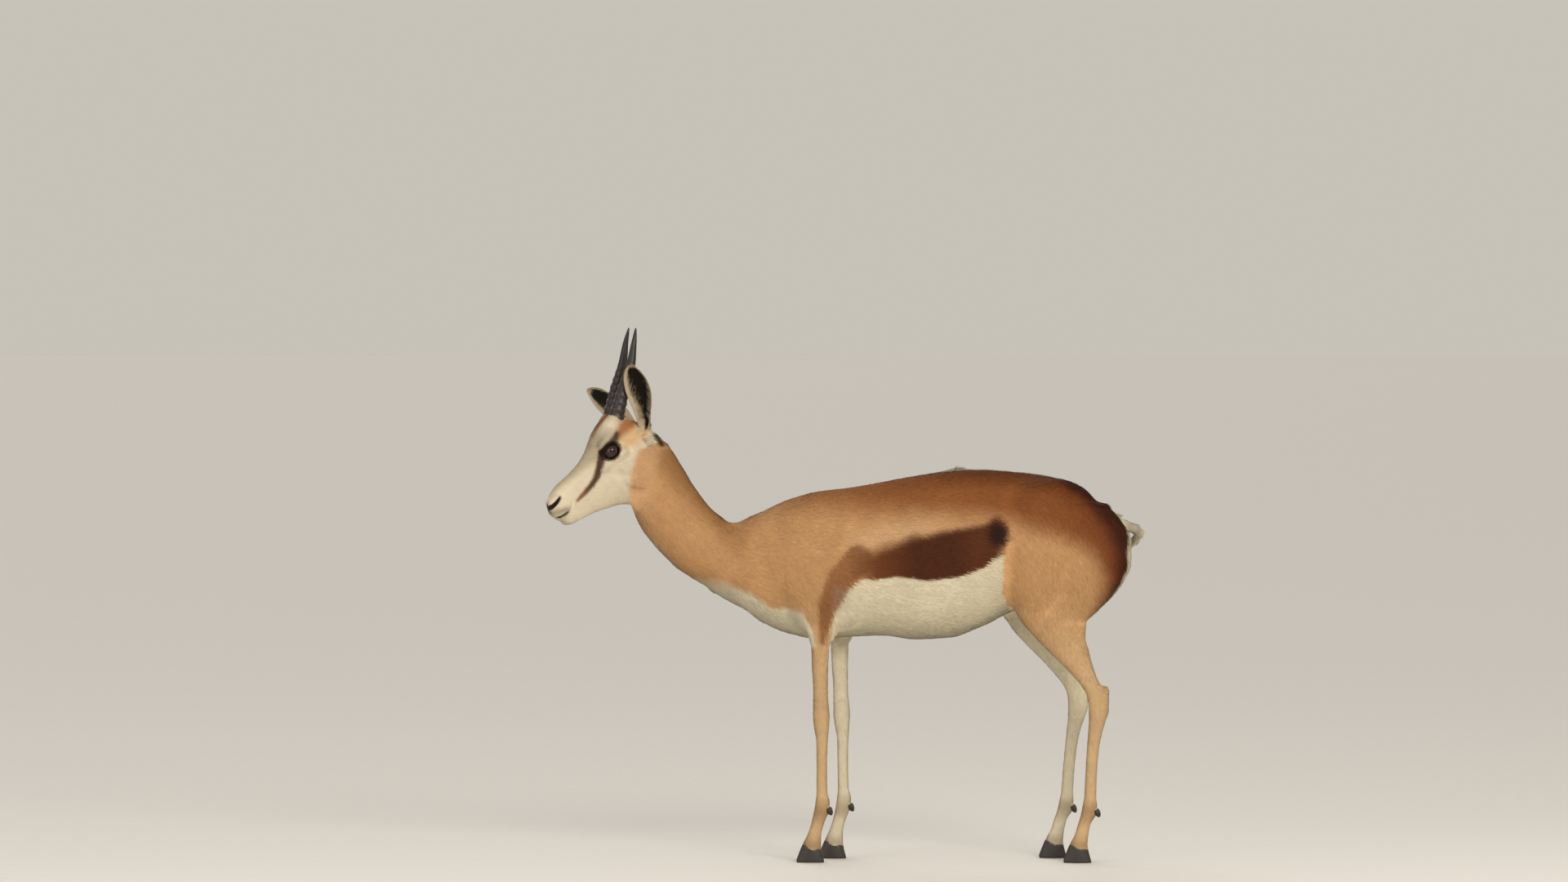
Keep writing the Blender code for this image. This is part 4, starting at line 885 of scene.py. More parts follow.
def coat_colour(x, y, z):
    """The coat's linear colour at places in the animal's own metres."""
    colour = np.tile(TAN, (len(x), 1))

    def paint(tint, share):
        nonlocal colour
        colour = colour + (tint - colour) * share[:, None]

    wander = mottle(x, y, z, 34, 3) * 2.2
    level, height, side = x / MM, z / MM + wander, np.abs(y) / MM
    edge = mottle(x, y, z, 9, 5) * 1.2

    # The body: a brown back over tan sides, paler along the band's upper edge.
    top = np.interp(level, *BAND_TOP)
    foot = np.interp(level, *BAND_FOOT)
    along_band = step_up(level, -30, 20) * (1 - step_up(level, 250, 300))
    paler = 0.8 - 0.55 * step_up(level, 110, 220)
    paint(PALE_TAN, paler * along_band * np.exp(-(((height - top - 22) / 26) ** 2)))
    brown_foot = np.interp(level, *BROWN_FOOT)
    strength = np.interp(level, *BACK_STRENGTH) * step_up(level, -330, -200)
    paint(BACK_BROWN, strength * step_up(height, brown_foot - 38, brown_foot + 30))
    rear_share = step_up(level, 150, 420)
    paint(LOIN_BROWN, 0.75 * rear_share * step_up(height, brown_foot - 36, brown_foot + 34))
    dorsal = np.interp(level, TRUNK_FORM[0] / MM, TRUNK_FORM[1] / MM) - height
    paint(DORSAL_BROWN, 0.75 * step_up(level, 20, 240) * (1 - step_up(dorsal, 4, 44)) * (height > 560))

    # The rump's edge, red then nearly black.
    before_rear = np.interp(height, *REAR_LINE) - level
    on_rump = step_up(height, 452, 500) * step_up(level, 380, 430)
    reach = np.interp(height, (480, 540, 590, 650), (0.25, 0.55, 0.9, 1.0))
    paint(RUMP_RED, 0.85 * on_rump * (1 - step_up(before_rear, 22 * reach, 104 * reach)))
    paint(RUMP_DARK, 0.95 * on_rump * (1 - step_up(before_rear, 4 * reach, 46 * reach)))

    # Legs: tan outside, paler down to the hoof, white inside and behind the forearm.
    fore = level < 150
    drift = np.where(fore, limb_shift(z, FORE_SHIFT[1]), limb_shift(z, HIND_SHIFT[1])) / MM
    leg_level = level - np.where(y > 0, drift, 0)
    on_leg = height < 560
    paint(LEG_TAN, 1 - step_up(height, 320, 570))
    middle = np.where(fore, np.interp(height, *FORE_MIDDLE), np.interp(height, *HIND_MIDDLE))
    inner = (1 - step_up(side + edge, middle - 7, middle + 2)) * (1 - step_up(height, 520, 575))
    paint(BELLY_WHITE, inner * on_leg)
    behind_arm = step_up(leg_level + edge, -44, -34) * step_up(height, 300, 380) * (1 - step_up(height, 530, 552))
    paint(BELLY_WHITE, behind_arm * fore)
    pastern = np.exp(-(((height - 100) / 20) ** 2)) + 0.8 * np.exp(-(((height - 34) / 12) ** 2))
    paint(FETLOCK_BROWN, 0.45 * np.minimum(pastern, 1))

    # The band along the flank, with painted shade in the thigh's fold at its end, and the brown that runs from it down
    # the arm.
    arm = along_line(leg_level, height, ELBOW_BAND) + edge
    paint(ELBOW_BROWN, 0.85 * (1 - step_up(arm, -5, 7)) * step_up(side, 48, 62) * (fore))
    soft = np.interp(level, (0, 120, 240), (22, 15, 9))
    in_band = step_up(height + edge, foot - 4, foot + 5) * (1 - step_up(height + edge, top - soft, top + soft))
    in_band *= step_up(level, -20, 50) * (1 - step_up(level + edge, 272, 300)) * step_up(side, 30, 60)
    paint(BAND_FRONT, in_band)
    paint(BAND_DARK, in_band * step_up(level, 40, 130) * (1 - 0.35 * step_up(level, 200, 240)))
    # Painted shade: the dark pocket of the fold before the thigh, laid over the band's rear end.
    spot = np.hypot((level - 280) / 26, (height - 645) / 34) + edge / 30
    paint(BAND_DARK, 0.9 * (1 - step_up(spot, 0.62, 1.2)) * step_up(side, 30, 60))
    paint(FLANK_FOLD_SHADE, 0.95 * (1 - step_up(spot, 0.4, 0.9)) * step_up(side, 30, 60))

    # The white belly and brisket.
    under = 1 - step_up(height + edge, foot - 3, foot + 3)
    under *= step_up(level + edge, np.interp(height, *BELLY_FRONT) - 5, np.interp(height, *BELLY_FRONT) + 4)
    under *= 1 - step_up(level + edge, np.interp(height, *BELLY_REAR) - 4, np.interp(height, *BELLY_REAR) + 4)
    paint(BELLY_WHITE, under * (height > 380))
    brisket = np.interp(level, *BRISKET_LINE)
    chest = (1 - step_up(height + edge, brisket - 7, brisket + 7)) * step_up(level, -250, -215)
    paint(BELLY_WHITE, chest * (1 - step_up(level, -78, -60)) * (height > 425))

    # The white rump, and the white hair that shows in the fold along the back.
    white_half = np.interp(height, *RUMP_WHITE) + edge
    rump = (1 - step_up(side, white_half - 4, white_half + 3)) * (1 - step_up(before_rear, 60, 90))
    paint(BELLY_WHITE, rump * step_up(level, 400, 440) * (height > 400) * (height < 725))
    fold = (1 - step_up(side, 2.0, 5.0)) * step_up(level, 150, 180) * (dorsal < 22) * (height > 600)
    paint(BELLY_WHITE, 0.9 * fold)
    from_tail = tail(x, y, z) / MM
    on_tail = (1 - step_up(from_tail, 2, 6)) * step_up(level, 528, 545)
    paint(BELLY_WHITE, on_tail)
    paint(TAIL_GREY, on_tail * (1 - step_up(y / MM, 14, 40)))

    # The neck: browner along the nape, a pale line down the throat.
    nape = (x - NECK_TOP[0]) * NECK_NAPE[0] + (z - NECK_TOP[2]) * NECK_NAPE[2]
    down_neck = (x - NECK_TOP[0]) * NECK_AXIS[0] + (z - NECK_TOP[2]) * NECK_AXIS[2]
    on_neck = 1 - step_up(level, -260, -170)
    paint(NAPE_BROWN, 0.9 * on_neck * step_up(nape / MM, 0, 56))
    behind_jaw = head_place(x, y, z)[0] - np.interp(z / MM, *FACE_EDGE)
    paint(PALE_TAN, 0.6 * (1 - step_up(behind_jaw, 30, 58)) * on_neck * step_up(z / MM, 660, 700))
    throat = (1 - step_up(nape / MM, -76, -62)) * step_up(down_neck / MM, 0, 30) * (1 - step_up(level, -390, -330))
    paint(EAR_BASE, 0.4 * on_neck * throat)

    # The head, its own halves taken together.
    a, s, c = (v / MM for v in in_head(x, y, z))
    s = np.abs(s)
    head_x, head_z = head_place(x, y, z)
    head_x = head_x + edge * 0.5
    edge_x = np.interp(head_z, *FACE_EDGE)
    face = (1 - step_up(head_x, edge_x - 7, edge_x + 7)) * (level < -340) * (height > 640)
    paint(FACE_WHITE, face)
    paint(BRIDGE_GREY, 0.8 * face * step_up(c, 46, 62) * step_up(a, 40, 110))
    crown = face * step_up(c, 84, 94) * (1 - step_up(a, 20, 44))
    paint(FOREHEAD_BROWN, 0.9 * crown)
    middle_patch = (1 - step_up(s, 8, 16)) * (1 - step_up(a, 68, 98)) * step_up(c, 70, 82)
    paint(FOREHEAD_BROWN, 0.95 * face * middle_patch)
    glow = along_line(head_x, head_z, BROW_GLOW)
    paint(BROW_CREAM, 0.85 * face * (1 - step_up(glow, -8, 12)) * step_up(s, 14, 26))
    brow = along_line(head_x, head_z, BROW_PATCH)
    paint(BROW_ORANGE, 0.95 * face * (1 - step_up(brow, -9, 8)) * step_up(s, 16, 26))
    dark_brow = along_line(head_x, head_z, DARK_BROW)
    paint(BROW_DARK, 0.9 * face * (1 - step_up(dark_brow, -5, 5)) * step_up(s, 16, 26))
    tear = along_line(head_x, head_z, TEAR_STRIPE)
    stripe = FACE_STRIPE + (STRIPE_END - FACE_STRIPE) * step_up(a, 140, 205)[:, None]
    paint(stripe, 0.95 * face * (1 - step_up(tear, -3.2, 2.4)) * step_up(s, 6, 12))
    from_eye = np.hypot((a - EYE_PLACE[0] - 2) / 23, (c - EYE_PLACE[2] - 1) / 19)
    paint(EYE_SURROUND, face * (1 - step_up(from_eye, 0.80, 1.12)) * (s > 20))
    spot = along_line(level, height, DARK_SPOT)
    paint(EYE_SURROUND, 0.95 * (1 - step_up(spot, -5, 4)) * step_up(s, 7, 20) * (level < -340))
    # Painted shade: grey under the nostril's wing along the upper lip, and over the lower front of the muzzle.
    lip = along_line(a, c, ((252, 27, 6), (232, 20, 5), (214, 13, 3)))
    paint(PAINTED_LIP_SHADE, 0.75 * face * (1 - step_up(lip, -5, 7)))
    paint(PAINTED_LIP_SHADE, 0.45 * face * step_up(a, 214, 236) * (1 - step_up(c, 2, 12)))
    # Dark in and round the nostrils: partly their bare dark skin, partly painted shade in the hollow.
    from_nostril = nostril(a * MM, s * MM, c * MM) / MM
    paint(NOSE_DARK, face * (1 - step_up(from_nostril, 0.6, 3.0)))
    pad = s - np.interp(c, *NOSE_PAD)
    paint(NOSE_DARK, 0.95 * face * step_up(a, 231, 236) * (1 - step_up(pad, -0.8, 1.4)) * (c > 10) * (c < 46))
    # Dark along the parting of the lips: partly the dark lip edges, partly painted shade in the crease.
    for start, end in zip(MOUTH_LINE[:-1], MOUTH_LINE[1:]):
        lips = rod(a * MM, s * MM, c * MM, start, end, 1.3, 1.1) / MM
        paint(NOSE_DARK, 0.9 * face * (1 - step_up(lips, 0.8, 3.0)))

    # The ears: dark inside, nearly bare and darkened by painted shade in the hollow, pale along the rim, grey-tan
    # behind, white at the base.
    for ear_side in (1, -1):
        t, u, before = ear_places(x, y, z, ear_side)
        here = on_ear(t, u, before)
        base = 1 - step_up(t, 0.10, 0.24)
        dark = np.interp(t, *EAR_DARK)
        rim = np.maximum(step_up(np.abs(u), dark, dark + 0.2), step_up(t, 0.93, 0.98))
        ear_tint = np.where((before > 0)[:, None], EAR_INSIDE_SHADED, EAR_BACK)
        ear_tint = ear_tint + (EAR_RIM - ear_tint) * (rim * np.where(before > 0, 1.0, 0.55))[:, None]
        ear_tint = ear_tint + (EAR_BASE - ear_tint) * (base * np.where(before > 0, rim, 0.8))[:, None]
        share = (here * step_up(t, 0.03, 0.08))[:, None]
        colour = colour + (ear_tint - colour) * share
    shade = 1 + 0.035 * mottle(x, y, z, 60, 11) + 0.03 * mottle(x, y, z, 14, 12)
    return np.clip(colour * shade[:, None], 0, 1)


def paint_mesh(mesh, colours):
    layer = mesh.color_attributes.new("coat_colour", "FLOAT_COLOR", "POINT")
    rgba = np.ones((len(colours), 4), np.float32)
    rgba[:, :3] = colours
    layer.data.foreach_set("color", rgba.ravel())


def corners_of(mesh):
    """The mesh's points, and their normals."""
    points = np.empty(len(mesh.vertices) * 3, np.float32)
    mesh.vertices.foreach_get("co", points)
    normals = np.empty(len(mesh.vertices) * 3, np.float32)
    mesh.vertex_normals.foreach_get("vector", normals)
    return points.reshape(-1, 3).astype(float), normals.reshape(-1, 3).astype(float)


# Springbok hair: short, straight and close, each hair smooth enough that the coat has a low silky sheen.
def node(tree, kind, settings=None, **inputs):
    """Adds a shader node with these settings, each input given as a value or as the socket that feeds it."""
    made = tree.nodes.new(kind)
    for name, value in (settings or {}).items():
        setattr(made, name, value)
    for name, value in inputs.items():
        socket = made.inputs[name.replace("_", " ")] if isinstance(name, str) else made.inputs[name]
        if isinstance(value, bpy.types.NodeSocket):
            tree.links.new(value, socket)
        else:
            socket.default_value = value
    return made


def material(name, roughness, **sockets):
    """A Principled material, with its node tree and shader."""
    made = bpy.data.materials.new(name)
    made.use_nodes = True
    shader = made.node_tree.nodes["Principled BSDF"]
    shader.inputs["Roughness"].default_value = roughness
    for socket, value in sockets.items():
        shader.inputs[socket.replace("_", " ")].default_value = value
    return made, made.node_tree, shader


HAIR_BREADTH = 1.1 * MM
springbok_hair, tree, shader = material("springbok_hair", 0.66)
place = node(tree, "ShaderNodeTexCoord").outputs["Object"]
tint = node(tree, "ShaderNodeAttribute", {"attribute_name": "coat_colour"}).outputs["Color"]
tree.links.new(tint, shader.inputs["Base Color"])
strands = node(tree, "ShaderNodeTexNoise", Vector=place, Scale=1 / (2 * HAIR_BREADTH), Detail=2.0, Roughness=0.6)
relief = node(tree, "ShaderNodeBump", Height=strands.outputs["Fac"], Strength=0.35, Distance=0.4 * MM)
tree.links.new(relief.outputs["Normal"], shader.inputs["Normal"])
shader.inputs["Specular IOR Level"].default_value = 0.12

skin_points, skin_normals = corners_of(skin.data)
paint_mesh(skin.data, coat_colour(*skin_points.T))
skin.data.materials.clear()
skin.data.materials.append(springbok_hair)
FLESH = ["head", "neck", "torso", "tail", "ear_left", "ear_right"]
FLESH += [f"{leg}_{side}_{part}" for leg in ("foreleg", "hindleg") for side in ("left", "right") for part in ("upper", "lower")]


def settle(piece, slot, *nodes):
    """Sets the piece where the animal stands, to ride on its one body in place of these solids."""
    points, _ = corners_of(piece.data)
    piece.data.vertices.foreach_set("co", (points + STANCE).astype(np.float32).ravel())
    piece.data.update()
    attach(piece, "root")
    if nodes:
        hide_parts(*nodes)


# Coat. Each tuft is a flat tapered lock of a few dozen hairs, rooted in the skin and lying along the coat: back
# from the muzzle, down the neck and legs, rearward along the trunk. It is shortest on the face and the feet.
TUFT_COVER = 2.5
TUFT_LIFT = math.radians(6.5)
TUFT_SINK = 0.25 * MM
LIE_SPREAD = 14 * MM
FACE_LENGTHS = ((-10, 60, 120, 200, 225, 245), (7.0, 5.6, 4.4, 3.2, 2.2, 1.5))
LEG_LENGTHS = ((20, 46, 62, 100, 300, 420, 520), (7.5, 7.0, 4.8, 5.4, 6.8, 9.0, 12.0))
COAT_LENGTH = 12.5
NECK_LENGTH = 10.0
TAIL_LENGTH = 12.0
EAR_HAIR = 4.2
MOST_TUFTS = 49000
PATCH = 0.001
# Where the hooves' horn begins: the middle of a fore and of a hind foot along X and aside, and the height of the
# coronet there and its slope, in mm.
FORE_FOOT = (-76, 55.5)
HIND_FOOT = (446, 64)
CORONET_HEIGHT = 29
CORONET_SLOPE = 0.281


def tail_way(x, y, z):
    """The way the tail points beside each place."""
    path = np.array([row[:3] for row in TAIL]) * MM
    nearest = np.full(len(x), 1e3)
    way = np.zeros((len(x), 3))
    spots = np.column_stack([x, y, z])
    for start, end in zip(path[:-1], path[1:]):
        step = end - start
        t = np.clip(((spots - start) @ step) / (step @ step), 0, 1)
        away = np.linalg.norm(spots - start - t[:, None] * step, axis=1)
        closer = away < nearest
        nearest = np.where(closer, away, nearest)
        way[closer] = step / np.linalg.norm(step)
    return way


def coat_lie(x, y, z):
    """The way the coat lies at each place, not yet laid on the skin, and the tuft's length in mm there."""
    a, s, c = (v / MM for v in in_head(x, y, z))
    face_length = np.interp(a, *FACE_LENGTHS)
    leg_length = np.interp(z / MM, *LEG_LENGTHS)
    down_face = -HEAD_AXIS - 0.45 * HEAD_CROWN * (1 - step_up(c, 20, 70))[:, None]
    on_trunk = np.column_stack([np.ones(len(x)), np.zeros(len(x)), -0.25 * step_up(np.abs(y) / MM, 20, 80)])
    regions = [
        (head(x, y, z), down_face, face_length),
        (neck(x, y, z), np.tile(NECK_AXIS, (len(x), 1)), NECK_LENGTH),
        (trunk(x, y, z), on_trunk, COAT_LENGTH),
        (shoulders(x, y, z), np.tile([0.45, 0, -0.85], (len(x), 1)), COAT_LENGTH),
        (haunches(x, y, z), np.tile([0.62, 0, -0.75], (len(x), 1)), COAT_LENGTH),
        (tail(x, y, z), tail_way(x, y, z), TAIL_LENGTH),
    ]
    for side in (-1, 1):
        regions.append((foreleg(x, y, z, side), np.tile([0.05, 0, -1.0], (len(x), 1)), leg_length))
        regions.append((hindleg(x, y, z, side), np.tile([0.12, 0, -1.0], (len(x), 1)), leg_length))
    nearest = np.min([distance for distance, _, _ in regions], axis=0)
    way = np.zeros((len(x), 3))
    length = np.zeros(len(x))
    total = np.zeros(len(x))
    for distance, direction, hair in regions:
        weight = np.exp(-(distance - nearest) / LIE_SPREAD)
        way += weight[:, None] * direction
        length += weight * hair
        total += weight
    length /= total
    for side in (1, -1):
        t, u, before = ear_places(x, y, z, side)
        here = on_ear(t, u, before) & (t > 0.08)
        way[here] = ear_axes(side)[1]
        length[here] = EAR_HAIR
    return way, length


def coat_region(x, y, z):
    """Which piece of the coat each place belongs to, by name."""
    level, height = x / MM, z / MM
    region = np.full(len(x), "barrel", dtype=object)
    region[level < 5] = "shoulders"
    region[level < -205] = "neck"
    region[level > 190] = "loins"
    region[level > 345] = "rump"
    region[(level < -372) & (height > 640)] = "head"
    a, _, _ = in_head(x, y, z)
    region[(level < -372) & (height > 640) & (a > 62 * MM)] = "face"
    region[(level < -372) & (height > 640) & (a > 138 * MM)] = "muzzle"
    region[(height < 470) & (level < 150) & (level > -205)] = "forelegs"
    region[(height < 500) & (level > 240)] = "hindlegs"
    for side in (1, -1):
        t, u, before = ear_places(x, y, z, side)
        region[on_ear(t, u, before) & (t > 0.08)] = "ears"
    return region


def unwrapped(region, x, y, z):
    """Each place on a flat map of the skin: along the region's own axis and round it."""
    level, height = x / MM, z / MM
    if region in ("muzzle", "face", "head"):
        a, s, c = (v / MM for v in in_head(x, y, z))
        return (a + 40) / 300, np.arctan2(s, c - 25) / (2 * math.pi) + 0.5
    if region == "neck":
        along = (x - NECK_TOP[0]) * NECK_AXIS[0] + (z - NECK_TOP[2]) * NECK_AXIS[2]
        up = (x - NECK_TOP[0]) * NECK_NAPE[0] + (z - NECK_TOP[2]) * NECK_NAPE[2]
        return (along / MM + 80) / 380, np.arctan2(y, up) / (2 * math.pi) + 0.5
    if region in ("forelegs", "hindlegs"):
        form, shifts = (FORELEG_FORM, FORE_SHIFT) if region == "forelegs" else (HINDLEG_FORM, HIND_SHIFT)
        side = np.sign(y)
        offset = np.where(side < 0, limb_shift(z, shifts[-1]), limb_shift(z, shifts[1]))
        middle_x = (np.interp(z, form[0], form[1]) + np.interp(z, form[0], form[2])) / 2 + offset
        middle_y = (np.interp(z, form[0], form[3]) + np.interp(z, form[0], form[4])) / 2
        turn = np.arctan2(np.abs(y) - middle_y, x - middle_x) / (2 * math.pi) + 0.5
        return 0.25 + side * 0.25 + turn * 0.48, height / 540
    if region == "ears":
        u_out = np.zeros(len(x))
        v_out = np.zeros(len(x))
        for index, side in enumerate((1, -1)):
            t, u, before = ear_places(x, y, z, side)
            here = on_ear(t, u, before)
            strip = index * 2 + (before > 0)
            u_out = np.where(here, (strip + 0.5 + 0.42 * np.clip(u, -1.1, 1.1)) / 4, u_out)
            v_out = np.where(here, t, v_out)
        return u_out, v_out
    low, high = {"shoulders": (-210, 10), "barrel": (0, 195), "loins": (185, 350), "rump": (340, 610)}[region]
    return (level - low) / (high - low), np.arctan2(y, height * MM - 0.6) / (2 * math.pi) + 0.5


def bake_map(mesh, shape, places):
    """The map named OFBake: each tuft is this small shape at its root's place, given as shares."""
    places = np.clip(np.stack(np.broadcast_arrays(*places), axis=1), 0.002, 0.998)
    corner_places = (places[:, None, :] + shape[None] * PATCH).reshape(-1, 2)
    corners = np.empty(len(mesh.loops), np.int32)
    mesh.loops.foreach_get("vertex_index", corners)
    layer = mesh.uv_layers.new(name="OFBake")
    layer.data.foreach_set("uv", corner_places[corners].astype(np.float32).ravel())


def tuft_mesh(name, roots, normals, way, length, width, lift, tint, patch, draw):
    """Tufts as thin three-sided spikes: two corners and a keel at the root, and a tip raised by the lift."""
    aside = np.cross(normals, way)
    half = aside * (width / 2)[:, None]
    base = roots - normals * TUFT_SINK
    tip = base + way * (length * np.cos(lift))[:, None] + normals * (length * np.sin(lift))[:, None]
    keel = base + way * (length * 0.25)[:, None] - normals * (width * 0.22)[:, None]
    corners = np.stack([base - half, base + half, tip, keel], axis=1)
    count = len(roots)
    pattern = np.array([[0, 1, 2], [1, 0, 3], [0, 2, 3], [2, 1, 3]])
    faces = (np.arange(count)[:, None, None] * 4 + pattern[None]).reshape(-1, 3)
    mesh = mesh_from(name, corners.reshape(-1, 3), faces)
    face_up = np.cross(corners[:, 1] - corners[:, 0], corners[:, 2] - corners[:, 0])
    face_up /= np.linalg.norm(face_up, axis=1)[:, None]
    face_up *= np.sign(np.einsum("ij,ij->i", face_up, normals))[:, None]
    shading = normals * 0.72 + face_up * 0.28 + aside * draw.normal(0, 0.10, count)[:, None]
    shading /= np.linalg.norm(shading, axis=1)[:, None]
    mesh.normals_split_custom_set_from_vertices(np.repeat(shading, 4, axis=0))
    # Painted shade darkens each tuft at its root and under its keel, where the tufts over it shade it, and painted
    # light brightens its tip a little.
    rooted = np.array([0.86, 0.86, 1.05, 0.8])
    paint_mesh(mesh, np.clip(tint[:, None, :] * rooted[None, :, None], 0, 1).reshape(-1, 3))
    bake_map(mesh, np.array([[-1.5, -1.0], [1.5, -1.0], [0.0, 1.5], [0.0, -0.2]]), patch)
    return mesh


def rooted_places(mesh, cover, draw):
    """Roots spread evenly over the mesh for tufts that cover it this many times, with normal, lie and length."""
    mesh.calc_loop_triangles()
    triangles = np.empty(len(mesh.loop_triangles) * 3, np.int32)
    mesh.loop_triangles.foreach_get("vertices", triangles)
    triangles = triangles.reshape(-1, 3)
    points, normals = corners_of(mesh)
    corners = points[triangles]
    middle = corners.mean(1)
    area = np.linalg.norm(np.cross(corners[:, 1] - corners[:, 0], corners[:, 2] - corners[:, 0]), axis=1) / 2
    length = coat_lie(*middle.T)[1]
    per_area = cover / (length * tuft_width(length) / 2 * MM * MM)
    sums = np.concatenate([[0], np.cumsum(per_area * area)])
    count = int(sums[-1])
    index = np.searchsorted(sums, (np.arange(count) + draw.random(count)) * sums[-1] / count, side="right") - 1
    index = np.clip(index, 0, len(triangles) - 1)
    first = (np.arange(count) * 0.7548776662 + 0.5) % 1
    second = (np.arange(count) * 0.5698402910 + 0.5) % 1
    over = first + second > 1
    first = np.where(over, 1 - first, first)
    second = np.where(over, 1 - second, second)
    shares = np.column_stack([1 - first - second, first, second])
    roots = np.einsum("ij,ijk->ik", shares, corners[index])
    upright = np.einsum("ij,ijk->ik", shares, normals[triangles[index]])
    upright /= np.linalg.norm(upright, axis=1)[:, None]
    return roots, upright


def tuft_width(length):
    return 0.45 + 0.12 * length


draw = np.random.default_rng(21)
roots, normals = rooted_places(skin.data, TUFT_COVER, draw)
way, length = coat_lie(*roots.T)
stray = draw.normal(0, 0.10, len(roots)) + 0.12 * mottle(*roots.T, 40, 8)
way = way - normals * np.einsum("ij,ij->i", way, normals)[:, None]
way /= np.linalg.norm(way, axis=1)[:, None]
way = way * np.cos(stray)[:, None] + np.cross(normals, way) * np.sin(stray)[:, None]
tint = coat_colour(*roots.T) * (1 + draw.normal(0, 0.055, len(roots)))[:, None]
region = coat_region(*roots.T)
# No tuft starts on the rim of the lids or within them, on the nose, on a dew claw or under a hoof's horn.
a, s, c = (v / MM for v in in_head(*roots.T))
s = np.abs(s)
gaps = (a - EYE_PLACE[0], s - EYE_PLACE[1], c - EYE_PLACE[2])
in_eye = np.sqrt(gaps[0] ** 2 + gaps[1] ** 2 + gaps[2] ** 2) < 18.6
in_nose = (nostril(a * MM, s * MM, c * MM) < 0.9 * MM) | ((a > 234) & (s < np.interp(c, *NOSE_PAD)) & (c > 12) & (c < 44))
bare = (in_eye | in_nose) & (region != "ears")
for middle, shifts, masses in ((FORE_FOOT, FORE_SHIFT, FORELEG_MASSES), (HIND_FOOT, HIND_SHIFT, HINDLEG_MASSES)):
    for side in (-1, 1):
        own_x = roots[:, 0] - limb_shift(roots[:, 2], shifts[side])
        beside = (np.sign(roots[:, 1]) == side) & (np.abs(own_x / MM - middle[0]) < 70)
        low = roots[:, 2] / MM < CORONET_HEIGHT + 2.2 - (own_x / MM - middle[0]) * CORONET_SLOPE
        on_claw = with_masses(None, own_x, side * roots[:, 1], roots[:, 2], masses[1:]) < 1.2 * MM
        bare |= beside & (low | on_claw)
length = length * draw.uniform(0.8, 1.2, len(roots))
total_tufts = 0
SLOTS = {"muzzle": "white_coat", "face": "white_coat", "head": "white_coat", "ears": "brown_coat", "neck": "tan_coat"}
for name in ("muzzle", "face", "head", "ears", "neck", "shoulders", "barrel", "loins", "rump", "forelegs", "hindlegs"):
    chosen = np.flatnonzero((region == name) & ~bare)
    print("coat", name, len(chosen))
    total_tufts += len(chosen)
    if len(chosen) > MOST_TUFTS:
        chosen = np.sort(draw.permutation(chosen)[:MOST_TUFTS])
    patch = unwrapped(name, *roots[chosen].T)
    sizes = length[chosen] * MM
    widths = tuft_width(length[chosen]) * MM
    lift = TUFT_LIFT * draw.uniform(0.5, 1.5, len(chosen))
    mesh = tuft_mesh("coat_" + name, roots[chosen], normals[chosen], way[chosen], sizes, widths, lift, tint[chosen], patch, draw)
    mesh.materials.append(springbok_hair)
    settle(put(mesh, "coat_" + name), SLOTS.get(name, "brown_coat"))
print("tufts", total_tufts)
settle(skin, "tan_coat", *FLESH)


# White hair that shows where the fold along the back opens a little, over the loins and above the tail.
FOLD_TUFTS = 2600
FOLD_FROM, FOLD_TO = 158, 516
FOLD_HALF = 2.6
FOLD_HAIR = 13.0


def top_of_skin(x, y):
    """The height of the trunk's top at these places, found by halving the stretch that holds it."""
    low, high = np.full(len(x), 0.6), np.full(len(x), 0.8)
    for _ in range(22):
        half = (low + high) / 2
        flesh = smooth_min(smooth_min(trunk(x, y, half), haunches(x, y, half), 34 * MM), tail(x, y, half), 12 * MM)
        inside = flesh + BODY_COAT < 0
        low, high = np.where(inside, half, low), np.where(inside, high, half)
    return low


draw = np.random.default_rng(5)
share = draw.random(FOLD_TUFTS) ** 0.85
x = (FOLD_FROM + (FOLD_TO - FOLD_FROM) * share) * MM
y = draw.normal(0, FOLD_HALF, FOLD_TUFTS) * MM
z = top_of_skin(x, y)
run = top_of_skin(x + 3 * MM, y) - top_of_skin(x - 3 * MM, y)
way = np.column_stack([np.full(FOLD_TUFTS, 6 * MM), np.zeros(FOLD_TUFTS), run])
way /= np.linalg.norm(way, axis=1)[:, None]
normals = np.column_stack([-way[:, 2], np.zeros(FOLD_TUFTS), way[:, 0]])
stray = draw.normal(0, 0.2, FOLD_TUFTS)[:, None]
way = way * np.cos(stray) + np.array([0.0, 1.0, 0.0]) * np.sin(stray)
size = FOLD_HAIR * draw.uniform(0.6, 1.25, FOLD_TUFTS) * MM
opened = np.exp(-(((share - 0.11) / 0.05) ** 2)) + step_up(share, 0.82, 1.0)
size *= 1 + 0.35 * opened
lift = np.radians(7 + 17 * opened) * draw.uniform(0.5, 1.5, FOLD_TUFTS)
tint = BELLY_WHITE * draw.normal(1.02, 0.06, FOLD_TUFTS)[:, None]
patch = (share, 0.5 + y / (40 * MM))
roots = np.column_stack([x, y, z])
mesh = tuft_mesh("coat_fold", roots, normals, way, size, size * 0.13, lift, np.clip(tint, 0, 1), patch, draw)
mesh.materials.append(springbok_hair)
settle(put(mesh, "coat_fold"), "white_coat")


# Hair within the ears: long pale wisps rooted beside the rim that bend over the dark hollow.
EAR_WISPS = 420
WISP_LENGTH = 15.0
WISP_STATIONS = 5


